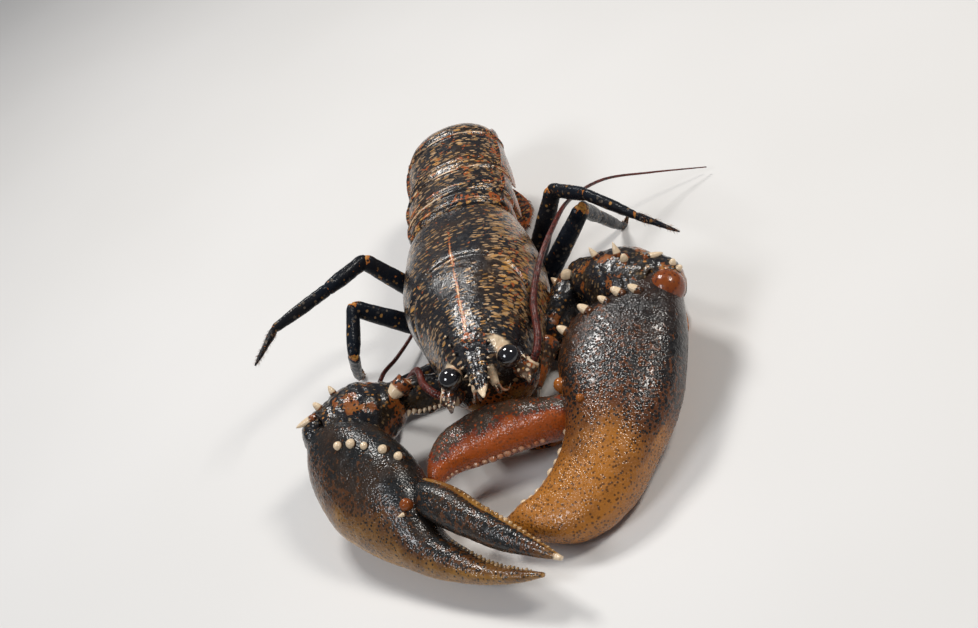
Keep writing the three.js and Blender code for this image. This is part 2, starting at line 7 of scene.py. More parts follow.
import bpy
import numpy as np
from mathutils import Matrix, Vector


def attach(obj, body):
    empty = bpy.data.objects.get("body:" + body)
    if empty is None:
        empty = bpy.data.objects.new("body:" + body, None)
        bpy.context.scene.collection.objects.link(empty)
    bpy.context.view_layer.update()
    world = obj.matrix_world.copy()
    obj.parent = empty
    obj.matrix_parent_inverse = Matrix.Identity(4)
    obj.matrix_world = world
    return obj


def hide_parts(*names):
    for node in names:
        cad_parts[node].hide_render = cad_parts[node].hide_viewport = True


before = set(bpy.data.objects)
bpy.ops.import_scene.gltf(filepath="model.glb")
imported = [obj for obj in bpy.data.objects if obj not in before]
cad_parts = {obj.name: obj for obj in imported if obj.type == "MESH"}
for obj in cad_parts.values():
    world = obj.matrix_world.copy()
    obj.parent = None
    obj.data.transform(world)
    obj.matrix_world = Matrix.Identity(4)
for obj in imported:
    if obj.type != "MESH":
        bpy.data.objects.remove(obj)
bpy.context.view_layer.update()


# Viewing place: in front of the head and above it, with the lens that gives the picture's framing.
def put(name, data):
    """Adds a new object to the scene."""
    made = bpy.data.objects.new(name, data)
    bpy.context.scene.collection.objects.link(made)
    return made


lens = bpy.data.cameras.new("camera")
lens.sensor_width, lens.lens = 36, 46.83
lens.clip_start, lens.clip_end = 0.01, 30
camera = put("camera", lens)
camera.matrix_world = Matrix(
    (
        (0.91565, 0.37087, 0.15506, 0.13862),
        (-0.10881, 0.60000, -0.79256, -0.67159),
        (-0.38698, 0.70884, 0.58974, 0.55624),
        (0, 0, 0, 1),
    )
)
bpy.context.scene.camera = camera


# Floor: a plain pale sheet that runs past the view on all sides, under soft light from above. Its
# warm grey is a little lighter and darker in wide clouds.
def plug(tree, made, inputs):
    """Sets or links each of a node's inputs, named by key or place."""
    for key, value in inputs.items():
        if isinstance(value, bpy.types.NodeSocket):
            tree.links.new(value, made.inputs[key])
        else:
            made.inputs[key].default_value = value


def shade_node(tree, kind, inputs, **settings):
    """Adds a shader node, gives it its settings and plugs its inputs."""
    made = tree.nodes.new("ShaderNode" + kind)
    for key, value in settings.items():
        setattr(made, key, value)
    plug(tree, made, inputs)
    return made


def tint(tree, share, under, over):
    """A colour between two others: under where the share is 0, over where it is 1."""
    pair = [c if isinstance(c, bpy.types.NodeSocket) else (*c, 1) for c in (under, over)]
    mix = shade_node(tree, "Mix", {0: share, 6: pair[0], 7: pair[1]}, data_type="RGBA")
    return mix.outputs[2]


def blank_finish(name):
    """A new finish, with its node tree, its surface node and the place on the object."""
    finish = bpy.data.materials.new(name)
    finish.use_nodes = True
    tree = finish.node_tree
    place = shade_node(tree, "TexCoord", {}).outputs["Object"]
    return finish, tree, tree.nodes["Principled BSDF"], place


FLOOR_REACH = 4  # metres from the sheet's middle to its edges
floor_sheet, tree, surface, place = blank_finish("floor_sheet")
clouds = shade_node(tree, "TexNoise", {"Vector": place, "Scale": 3.0}).outputs["Fac"]
pale_grey = tint(tree, clouds, (0.66, 0.65, 0.63), (0.74, 0.73, 0.72))
plug(tree, surface, {"Base Color": pale_grey, "Roughness": 0.6})
floor_mesh = bpy.data.meshes.new("floor")
corners = np.array([(-1, -1, 0), (1, -1, 0), (1, 1, 0), (-1, 1, 0)]) * FLOOR_REACH
floor_mesh.from_pydata(corners.tolist(), [], [(0, 1, 2, 3)])
floor_mesh.materials.append(floor_sheet)
put("floor", floor_mesh)

room = bpy.data.worlds.new("room")
room.use_nodes = True
air = room.node_tree.nodes["Background"]
plug(room.node_tree, air, {"Color": (0.86, 0.9, 1.0, 1), "Strength": 0.17})
bpy.context.scene.world = room
bpy.context.scene.view_settings.view_transform = "Standard"

# Each lamp: name, place in metres, width, watts and colour. All of them face the middle of the floor.
for lamp_name, seat, width, watts, hue in (
    ("lamp_back", (-0.25, 0.75, 1.35), 0.4, 14, (1, 0.98, 0.95)),
    ("lamp_right", (1.0, -0.1, 1.3), 0.35, 12, (1, 0.96, 0.9)),
    ("lamp_front", (-0.9, -0.8, 1.3), 0.5, 11, (0.95, 0.97, 1)),
):
    light = bpy.data.lights.new(lamp_name, "AREA")
    light.shape, light.size, light.energy, light.color = "SQUARE", width, watts, hue
    lamp = put(lamp_name, light)
    lamp.location = seat
    lamp.rotation_euler = (-Vector(seat)).to_track_quat("-Z", "Y").to_euler()


# Carapace: the one-piece shield over head and thorax, a hard barrel of shell with a groove across it
# and a thin pale line down its middle. Wet black shell carries short tan dashes across the body.
def run_through(rows, count):
    """A smooth path through the rows, in points even in length: between two rows a cubic whose slope
    at each row is the mean of the slopes on its two sides, weighted to the nearer one."""
    rows = np.asarray(rows, float)
    step = np.linalg.norm(np.diff(rows, axis=0), axis=1)
    knots = np.concatenate([[0], np.cumsum(step)])
    slope = np.diff(rows, axis=0) / step[:, None]
    near = slope[:-1] * step[1:, None] + slope[1:] * step[:-1, None]
    tangent = np.vstack([slope[:1], near / (step[:-1] + step[1:])[:, None], slope[-1:]])
    at = np.linspace(0, knots[-1], count)
    i = np.clip(np.searchsorted(knots, at, side="right") - 1, 0, len(step) - 1)
    u, gap = ((at - knots[i]) / step[i])[:, None], step[i][:, None]
    return (
        rows[i] * (2 * u**3 - 3 * u**2 + 1)
        + tangent[i] * gap * (u**3 - 2 * u**2 + u)
        + rows[i + 1] * (3 * u**2 - 2 * u**3)
        + tangent[i + 1] * gap * (u**3 - u**2)
    )


def unit(v):
    """Vectors scaled to length 1."""
    return v / (np.linalg.norm(v, axis=-1, keepdims=True) + 1e-12)


def hoops(centre, across, up, half_width, half_height, sides, power=2.0, half_depth=None):
    """Rings about a row of centres. A ring's point is the centre, plus its half width along across
    times the cosine, plus its half height along up times the sine, both raised to 2 / power with
    their signs kept. Below the centre the half depth takes the half height's place."""
    turn = 2 * np.pi * (np.arange(sides) + 0.5) / sides
    c, s = (np.sign(v) * np.abs(v) ** (2 / power) for v in (np.cos(turn), np.sin(turn)))
    n = len(centre)
    across, up = (np.broadcast_to(v, (n, 3))[:, None] for v in (across, up))
    depth = half_height if half_depth is None else half_depth
    w, h, d = (np.broadcast_to(v, n)[:, None] for v in (half_width, half_height, depth))
    tall = np.where(s > 0, h, d) * s
    return centre[:, None] + across * (w * c)[..., None] + up * tall[..., None]


def outward(grid):
    """Unit normals of a surface of rings: the cross product of the step round a ring and the step to
    the next one, turned as a whole to point away from the rings' middles."""
    normal = unit(np.cross(np.roll(grid, -1, 1) - np.roll(grid, 1, 1), np.gradient(grid, axis=0)))
    away = (normal * (grid - grid.mean(1, keepdims=True))).sum()
    return normal if away > 0 else -normal

def raised(grid, lift):
    """The surface moved out along its normals by the lift at each point, and kept above the floor."""
    grid = grid + outward(grid) * lift[..., None]
    grid[..., 2] = np.maximum(grid[..., 2], 0)
    return grid


def wander(points, size, seed=0.0):
    """Smooth uneven values from 0 to 1: each corner of a lattice of the given size holds the fraction
    of a large sine of its place, and a point takes its eight corners' average, eased."""
    cell = points / size + seed * 3.7
    low = np.floor(cell)
    share = cell - low
    share = share * share * (3 - 2 * share)
    total = 0
    for corner in np.ndindex(2, 2, 2):
        corner = np.array(corner)
        mixed = np.sin((low + corner) @ np.array([12.9898, 78.233, 37.719]) + seed) * 43758.5453
        total = total + np.where(corner == 1, share, 1 - share).prod(-1) * (mixed - np.floor(mixed))
    return total


def ease(value, low, high):
    """0 below low, 1 above high and a smooth step between them; it falls where high is the lower."""
    t = np.clip((value - low) / (high - low), 0, 1)
    return t * t * (3 - 2 * t)


def bump(value, middle, width):
    """A bell of height 1 at the middle, down to a third at one width from it."""
    return np.exp(-(((value - middle) / width) ** 2))


def skin(grid, orange=0, pale=0, flecks=0, limits=(0, 1)):
    """A closed shell over rings: quads between neighbouring rings and a fan to the middle of each end
    ring. Its marks are each point's shares of orange, of cream and of flecks, kept to the limits."""
    n, sides = grid.shape[:2]
    marks = np.stack([np.broadcast_to(m, (n, sides)) for m in (orange, pale, flecks)], -1)
    marks = np.clip(marks, *limits).reshape(-1, 3)
    ids = np.arange(n * sides).reshape(n, sides)
    near, far = ids[:-1], ids[1:]
    quads = np.stack([near, np.roll(near, -1, 1), np.roll(far, -1, 1), far], -1).reshape(-1, 4)
    poles = np.full(sides, n * sides)
    fans = [(np.roll(ids[0], -1), ids[0], poles), (ids[-1], np.roll(ids[-1], -1), poles + 1)]
    fans = np.vstack([np.stack(fan, -1) for fan in fans])
    points = np.vstack([grid.reshape(-1, 3), grid[0].mean(0), grid[-1].mean(0)])
    marks = np.vstack([marks, marks[:1], marks[-1:]])
    around = np.vstack([quads[:, [0, 1, 2]], quads[:, [0, 2, 3]], fans])
    a, b, c = (points[around[:, k]] for k in range(3))
    if (a * np.cross(b, c)).sum() < 0:
        quads, fans = quads[:, ::-1], fans[:, ::-1]
    return points, quads, fans, marks


MM_PER_METRE = 1000


def lay(name, shells, finish, nodes):
    """Puts closed shells into one mesh in metres, with their marks as a colour attribute, lets it ride
    on the model's body, and has it stand for the named nodes."""
    start = np.cumsum([0] + [len(s[0]) for s in shells])
    points, marks = (np.vstack([s[k] for s in shells]) for k in (0, 3))
    quads, fans = (np.vstack([s[k] + o for s, o in zip(shells, start)]) for k in (1, 2))
    mesh = bpy.data.meshes.new(name)
    mesh.vertices.add(len(points))
    mesh.vertices.foreach_set("co", (points / MM_PER_METRE).astype(np.float32).ravel())
    corners = np.concatenate([quads.ravel(), fans.ravel()]).astype(np.int32)
    mesh.loops.add(len(corners))
    mesh.loops.foreach_set("vertex_index", corners)
    starts = np.concatenate([4 * np.arange(len(quads)), 4 * len(quads) + 3 * np.arange(len(fans))])
    mesh.polygons.add(len(starts))
    mesh.polygons.foreach_set("loop_start", starts.astype(np.int32))
    mesh.polygons.foreach_set("use_smooth", np.ones(len(starts), bool))
    mesh.update(calc_edges=True)
    paint = mesh.attributes.new("marks", "FLOAT_COLOR", "POINT")
    colours = np.column_stack([marks, np.ones(len(marks))])
    paint.data.foreach_set("color", colours.astype(np.float32).ravel())
    mesh.materials.append(finish)
    piece = put(name, mesh)
    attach(piece, "root")
    if nodes:
        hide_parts(*nodes)


def shell_finish(
    name, ground, brown, dash, ember, glow, cream, lie=(300, 300, 300), gloss=0.2, dots=0.5,
    rough=0.5, coat=0.5, shine=0.3,
):
    """Wet shell. The ground drifts to brown in clouds. Dashes are the hearts of cells squeezed by lie,
    some left out, thicker where the third mark is high. The first mark turns the ground to ember and
    glow: it starts between small cells and closes in on their hearts, which stay as dark dots. The
    second mark bleaches it to cream. The relief is fine grains and pits."""
    finish, tree, surface, place = blank_finish(name)
    marks = shade_node(tree, "Attribute", {}, attribute_name="marks").outputs["Color"]
    orange, pale, flecked = shade_node(tree, "SeparateColor", {0: marks}).outputs[:3]

    def noise(scale, detail=3.0, twist=0.0, out="Fac"):
        inputs = {"Vector": place, "Scale": scale, "Detail": detail, "Distortion": twist}
        return shade_node(tree, "TexNoise", inputs).outputs[out]

    def cells(scale, at=place, feature="F1"):
        return shade_node(tree, "TexVoronoi", {"Vector": at, "Scale": scale}, feature=feature).outputs

    def between(value, low, high, out_low=0.0, out_high=1.0):
        inputs = {0: value, 1: low, 2: high, 3: out_low, 4: out_high}
        return shade_node(tree, "MapRange", inputs, interpolation_type="SMOOTHSTEP").outputs[0]

    def joined(operation, *values, kind="Math"):
        total = values[0]
        for value in values[1:]:
            total = shade_node(tree, kind, {0: total, 1: value}, operation=operation).outputs[0]
        return total

    def sum_of(*values):
        return joined("ADD", *values)

    def product(*values):
        return joined("MULTIPLY", *values)

    clouds, blots, grit = noise(30, 4), noise(150, 4, 0.6), noise(620, 2)
    sway = joined("MULTIPLY", noise(90, 2, out="Color"), (0.0035, 0.0035, 0.0035), kind="VectorMath")
    bent = joined("ADD", place, sway, kind="VectorMath")
    lying = shade_node(tree, "Mapping", {"Vector": bent, "Scale": lie}).outputs[0]
    rows = cells(1.0, lying)
    pick = shade_node(tree, "SeparateColor", {0: rows["Color"]}).outputs
    core = between(sum_of(rows["Distance"], product(grit, 0.25), product(flecked, -0.3)), 0.37, 0.3)
    chance = sum_of(pick[0], product(flecked, 0.8), product(clouds, 0.6), product(blots, 0.8))
    dashes = product(core, between(chance, 1.16, 1.3), between(flecked, 0.02, 0.35))
    edges = between(cells(0.62, lying, "DISTANCE_TO_EDGE")["Distance"], 0.07, 0.02)
    strands = product(edges, between(blots, 0.5, 0.62), between(flecked, 0.1, 0.9, 0.0, 0.6))

    base = tint(tree, between(clouds, 0.42, 0.68), ground, brown)
    base = tint(tree, product(between(blots, 0.56, 0.7), 0.5), base, brown)
    base = tint(tree, strands, base, dash)
    hue = tint(tree, between(sum_of(pick[1], product(orange, 1.2)), 0.45, 1.0), dash, glow)
    base = tint(tree, product(dashes, between(pick[2], 0.0, 1.0, 0.45, 1.0)), base, hue)
    far = cells(430)["Distance"]
    warmth = sum_of(product(orange, 1.15), product(noise(70), 0.5))
    warm = tint(tree, between(warmth, 0.8, 1.4), ember, glow)
    hearts = between(sum_of(far, product(grit, 0.3)), 0.56, 0.38)
    warm = tint(tree, product(hearts, dots), warm, brown)
    turned = between(sum_of(orange, product(far, 0.95), product(blots, 0.4)), 1.06, 1.18)
    bleached = between(sum_of(pale, product(blots, 0.4)), 0.5, 0.78)
    base = tint(tree, bleached, tint(tree, turned, base, warm), cream)

    grains = between(cells(700)["Distance"], 0.0, 0.7)
    relief = sum_of(product(grains, rough), product(noise(240), 0.32), product(bleached, 0.25))
    bumps = shade_node(tree, "Bump", {"Height": relief, "Strength": 0.4, "Distance": 0.0006}).outputs[0]
    worn = between(noise(210), 0.3, 0.7, gloss, gloss + 0.22)
    plug(tree, surface, {"Base Color": base, "Roughness": worn, "Specular IOR Level": shine})
    plug(tree, surface, {"Coat Weight": coat, "Coat Roughness": 0.08, "Coat IOR": 1.4})
    plug(tree, surface, {"Normal": bumps, "Coat Normal": bumps})
    return finish


BLACK, BROWN = (0.0085, 0.0085, 0.0105), (0.028, 0.0155, 0.0085)
TAN, ORANGE = (0.46, 0.29, 0.15), (0.33, 0.075, 0.014)
GOLD, BONE = (0.5, 0.25, 0.062), (0.74, 0.57, 0.38)
back_shell = shell_finish("back_shell", BLACK, BROWN, TAN, ORANGE, GOLD, BONE, (150, 500, 215))

# Each station: place along the body, half width, height of the back, height of the underside.
carapace_stations = [
    (91, 37, 85, 26), (86, 41, 88.5, 20), (60, 47, 93.5, 12), (32, 50, 96, 12), (8, 48, 96, 12),
    (-12, 42, 94, 12), (-35, 34.5, 92, 14), (-52, 30, 89, 18), (-62, 26, 86, 26), (-69, 22, 82, 36),
]
GROOVE_AT_BACK = 19  # where the groove crosses the middle of the back


def carapace_shell(sides=300, count=250):
    """Rings of a squared ellipse through the stations. The groove is a bell-shaped dent along a line
    that leaves the back's middle and runs forward down each side as the 1.5th power of the turn."""
    y, w, top, low = run_through(carapace_stations, count).T
    centre = np.stack([0 * y, y, (top + low) / 2], -1)
    grid = hoops(centre, (1, 0, 0), (0, 0, 1), w, (top - low) / 2, sides, 2.3)
    turn = 2 * np.pi * (np.arange(sides) + 0.5) / sides
    down = np.abs((turn - np.pi / 2 + np.pi) % (2 * np.pi) - np.pi) / (np.pi / 2)
    x, y, z = np.moveaxis(grid, -1, 0)
    groove = GROOVE_AT_BACK - 46 * down**1.5
    reach = ease(down, 1.35, 1.05)
    lift = -1.2 * bump(y, groove, 2.0) * reach + 0.6 * bump(y, groove + 7, 6) * reach
    lift += 0.7 * bump(y, groove - 8, 6) * reach * ease(down, 0.05, 0.3)
    lift += -0.5 * bump(x, 0, 0.9) * ease(z, 60, 80) * ease(y, -50, -40)
    lift += 0.9 * bump(y, 89, 1.6) - 1.0 * bump(y, 84.6, 1.5)
    lift += 0.5 * bump(down, 1.12, 0.05) * ease(y, -40, -10)
    head = ease(y, -10, -45)
    lift += (0.16 + 0.5 * head) * (wander(grid, 2.4, 1) - 0.5)
    lift += 0.9 * (wander(grid, 17, 2) - 0.5)
    grid = raised(grid, lift)

    rag = 0.5 * (wander(grid, 3.2, 5) - 0.5)
    line = bump(x, -0.6, 0.95 + 0.3 * ease(y, 20, -30)) * ease(z, 60, 80)
    line *= ease(y, -56, -46) * ease(y, 66, 38) * (0.75 + 0.5 * (wander(grid, 5, 12) - 0.4))
    cheek = np.maximum(
        bump(np.hypot((x - 16.5) / 5.6, (y + 63) / 6.4), 0, 1),
        bump(np.hypot((x + 21) / 4.6, (y + 66) / 6.4), 0, 1),
    ) * ease(z, 66, 74)
    pale = np.maximum(0.6 * line, 0.95 * cheek) + 0.55 * rag * (cheek > 0.15)
    flank = ease(down, 0.22, 0.6) * ease(y, -62, -20) * np.where(x > 0, 1, 0.35)
    orange = 0.2 * flank + 0.3 * bump(np.hypot(x / 9, (y + 58) / 9), 0, 1) * ease(z, 60, 70)
    orange += 0.8 * ease(down, 1.18, 1.45) + 1.1 * line + 0.25 * rag + 0.3 * bump(y, 90, 1.4)
    flecks = 0.36 + 0.6 * flank + 0.2 * bump(y, groove, 5) * reach + 0.5 * (wander(grid, 14, 4) - 0.5)
    return skin(grid, orange, pale, flecks)


# Rostrum and head spines: a spike of shell between the eyes, hollowed along its top, with three
# forward teeth on each side, rows of small white-tipped spines behind it and one by each eye.
def horn(base, aim, radius, length, sides=12, rings=9, blunt=1.0, marks=None, white_from=-0.1):
    """A spike or bead: rings along the aim whose radius falls as (1 - t^blunt)^(1 / blunt), a cone at
    1 and a half ball at 2, with its root sunk by its radius. Unless marks are given it turns to cream
    from white_from towards the tip."""
    aim = unit(np.asarray(aim, float))
    side = unit(np.cross(aim, (0.31, 0.22, 0.92)))
    t = np.linspace(0, 0.985, rings) ** (0.75 if blunt > 1 else 1)
    fall = (1 - t**blunt) ** (1 / blunt)
    t, fall = np.concatenate([[-radius / length], t]), np.concatenate([[1.0], fall])
    line = np.asarray(base, float) + aim * (t * length)[:, None]
    grid = hoops(line, side, np.cross(aim, side), radius * fall, radius * fall, sides)
    if marks is None:
        white = ease(t, white_from, white_from + 0.55)[:, None]
        marks = 0.45 * (white_from < 0) + 0.25 * white, white, 0
    return skin(grid, *marks)


# Each row: place along, height, half width and half height.
rostrum_rows = [
    (-50, 82, 13, 6), (-66, 80.5, 8.5, 4.5), (-80, 78.5, 6, 3.6), (-92, 77, 4, 2.6), (-101, 76, 0.8, 0.6)
]


def rostrum_shell():
    """Rings along the spike, flatter than wide, with a bell-shaped hollow down the middle of the top
    and a fine granular lift."""
    y, z, w, h = run_through(rostrum_rows, 110).T
    grid = hoops(np.stack([0 * y, y, z], -1), (1, 0, 0), (0, 0, 1), w, h, 56, 2.1)
    above = ease((grid[..., 2] - z[:, None]) / h[:, None], 0.1, 0.7)
    lift = -1.1 * above * bump(grid[..., 0] / w[:, None], 0, 0.42) * ease(w, 1, 4)[:, None]
    grid = raised(grid, lift + 0.5 * (wander(grid, 1.6, 7) - 0.5))
    tip = ease(y, -88, -99)[:, None]
    return skin(grid, 0.05 + 0.4 * tip, 0.6 * tip + 0.3 * (wander(grid, 2.2, 9) > 0.86), 0.3)


head_spines = []
for side in (-1, 1):
    for i in range(3):
        root = (side * (6.5 - i), -72 - 8 * i, 80.5 - 0.8 * i)
        head_spines.append(horn(root, (side * 0.7, -1, 0.5), 1.5, 6 - 0.4 * i, white_from=0.3))
        root = (side * (11 + 1.6 * i), -63 + 8 * i, 84.5 + 1.6 * i)
        head_spines.append(horn(root, (side * 0.35, -1, 0.8), 1.7, 4.6 - 0.8 * i, white_from=0.3))
    for i in range(7):
        root = (side * (2.2 + 0.9 * i), -84 + 6.1 * i, 81.2 + 0.85 * i)
        head_spines.append(horn(root, (0, -0.5, 1), 0.6, 1.2, 8, 5, 2))
    head_spines.append(horn((side * 25, -62, 68), (side * 0.3, -1, 0.1), 2.6, 12, white_from=0.4))

shells = [carapace_shell(), rostrum_shell(), *head_spines]
lay("carapace_shield", shells, back_shell, ["carapace"])


# Sternum: the narrow plate between the legs that the body rests on, pale and cream, with a step at each
# pair of legs.
under_shell = shell_finish(
    "under_shell", (0.2, 0.13, 0.07), (0.12, 0.07, 0.04), BONE, (0.4, 0.2, 0.09), GOLD, BONE,
    (260, 260, 260),
)


def sternum_shell():
    """Rings of a squared ellipse along the plate, pinched at each leg pair by a cosine, and cut flat
    at the floor."""
    y, w = run_through([(80, 16), (60, 22), (20, 26), (-25, 22), (-52, 13)], 120).T
    w = w - 1.2 * (1 + np.cos(2 * np.pi * y / 27))
    grid = hoops(np.stack([0 * y, y, 5.8 + 0 * y], -1), (1, 0, 0), (0, 0, 1), w, 5.9, 48, 4.5)
    grid[..., 2] = np.clip(grid[..., 2], 0, 11.7)
    return skin(grid, 0.3, 0.5 + 0.5 * (wander(grid, 8, 3) - 0.5), 0.3)


lay("sternum_plate", [sternum_shell()], under_shell, ["sternum"])


# Eyes: a glossy black ball of fine facets on a short stalk, in the notch beside the rostrum.
eye_gloss, tree, surface, place = blank_finish("eye_gloss")
facets = shade_node(tree, "TexVoronoi", {"Vector": place, "Scale": 2600.0}).outputs["Distance"]
bumps = shade_node(tree, "Bump", {"Height": facets, "Strength": 0.08, "Distance": 0.0002}).outputs[0]
near_black = tint(tree, facets, (0.003, 0.003, 0.004), (0.012, 0.01, 0.012))
plug(tree, surface, {"Base Color": near_black, "Normal": bumps, "Roughness": 0.08})
plug(tree, surface, {"Coat Weight": 1.0, "Coat Roughness": 0.02})

EYE_RADIUS, EYE_HALF_LENGTH, EYE_MIDDLE = 7.5, 7.4, 12.3  # the last is measured from the socket


def turned_shell(base, aim, places, radii, sides, marks=(0, 0, 0), count=60):
    """A turned body: rings about an aim, with radii read from a smooth curve through the places."""
    aim = unit(np.asarray(aim, float))
    side = unit(np.cross(aim, (0.1, 0.2, 1)))
    s, r = run_through(np.stack([places, radii], -1), count).T
    line = np.asarray(base, float) + aim * s[:, None]
    return skin(hoops(line, side, np.cross(aim, side), r, r, sides), *marks)


SIDES = (("left", 1), ("right", -1))
eye_share = np.linspace(-0.62, 0.995, 24)  # from the stalk to the ball's front
eye_swell = np.sqrt(np.clip(1 - eye_share**2, 0, 1))
for hand, side in SIDES:
    root, aim = np.array((side * 13, -62, 74)), (side * 0.55, -0.83, 0.05)
    places = EYE_MIDDLE + EYE_HALF_LENGTH * eye_share
    ball = turned_shell(root, aim, places, EYE_RADIUS * eye_swell, 64)
    lay(f"eye_ball_{hand}", [ball], eye_gloss, [f"eye_{hand}"])
    places, radii = [-3, 2, 6, 7.6, 8.6], [4.6, 4.9, 5.1, 5.9, 5.2]
    stalk = turned_shell(root, aim, places, radii, 40, (0.5, 0.45, 0.4), 30)
    lay(f"eye_stalk_{hand}", [stalk], back_shell, [])


# Mouth and feeler roots: brown jointed stalks, each with a pointed scale, two thin split feelers
# between them, and the folded feeding legs below, fringed with stiff hairs.
stalk_shell = shell_finish(
    "stalk_shell", (0.045, 0.03, 0.025), (0.09, 0.05, 0.03), BONE, ORANGE, GOLD, BONE
)
feeler_shell = shell_finish(
    "feeler_shell", (0.035, 0.0045, 0.0035), (0.018, 0.004, 0.0035), (0.16, 0.05, 0.03),
    (0.1, 0.013, 0.007), (0.14, 0.025, 0.01), (0.3, 0.18, 0.12), gloss=0.3, dots=0.2,
)


def mirrored(side, rows):
    """Rows given for the left side, with x turned over where side is -1."""
    rows = np.array(rows, float)
    rows[:, 0] *= side
    return rows


def limb(rows, count, sides, up=(0, 0, 1), power=2.0, ripple=0.0, pitch=4.0, seed=1.0, size=0.5):
    """A limb along a smooth path: rows hold x, y, z, half width and half height. Rings stand square
    to the path with up as their high side, rise and fall by a cosine of the given pitch along it, and
    carry a slight unevenness. Returns the grid and each ring's share of the length."""
    x, y, z, w, h = run_through(rows, count).T
    line = np.stack([x, y, z], -1)
    ahead = unit(np.gradient(line, axis=0))
    across = unit(np.cross(np.broadcast_to(up, line.shape), ahead))
    length = np.concatenate([[0], np.cumsum(np.linalg.norm(np.diff(line, axis=0), axis=1))])
    wave = 1 + ripple * np.cos(2 * np.pi * length / pitch)
    grid = hoops(line, across, np.cross(ahead, across), w * wave, h * wave, sides, power)
    grid = raised(grid, size * (wander(grid, 3.1, seed) - 0.5))
    return grid, length / length[-1]


def bristles(roots, aims, length, radius=0.12, curl=0.25, tone=(0.35, 0.55, 0)):
    """Stiff hairs as thin three-sided spikes: each has a root ring, a ring half way along that leans
    by curl towards the floor, and a tip."""
    roots, aims = np.asarray(roots, float), unit(np.asarray(aims, float))
    n = len(roots)
    length = np.broadcast_to(length, n)[:, None]
    side = unit(np.cross(aims, (0.2, 0.1, 1)))
    other = np.cross(aims, side)
    turn = 2 * np.pi * np.arange(3) / 3
    ring = side[:, None] * np.cos(turn)[:, None] + other[:, None] * np.sin(turn)[:, None]
    middle = roots + aims * 0.55 * length + np.array((0, 0, -1)) * curl * 0.3 * length
    tips = roots + aims * length + np.array((0, 0, -1)) * curl * length
    points = np.concatenate(
        [roots[:, None] + ring * radius, middle[:, None] + ring * radius * 0.6, tips[:, None]], 1
    )
    points[..., 2] = np.maximum(points[..., 2], 0.02)
    start = 7 * np.arange(n)[:, None, None]
    quads = (np.array([[0, 1, 4, 3], [1, 2, 5, 4], [2, 0, 3, 5]]) + start).reshape(-1, 4)
    fans = (np.array([[3, 4, 6], [4, 5, 6], [5, 3, 6], [0, 2, 1]]) + start).reshape(-1, 3)
    return points.reshape(-1, 3), quads, fans, np.broadcast_to(tone, (7 * n, 3))


def ring_spots(grid, rings, places):
    """Points and outward directions on a surface at the given rings and shares of a turn."""
    rings = np.asarray(rings)
    places = (np.asarray(places) * grid.shape[1]).astype(int) % grid.shape[1]
    return grid[rings, places], outward(grid)[rings, places]


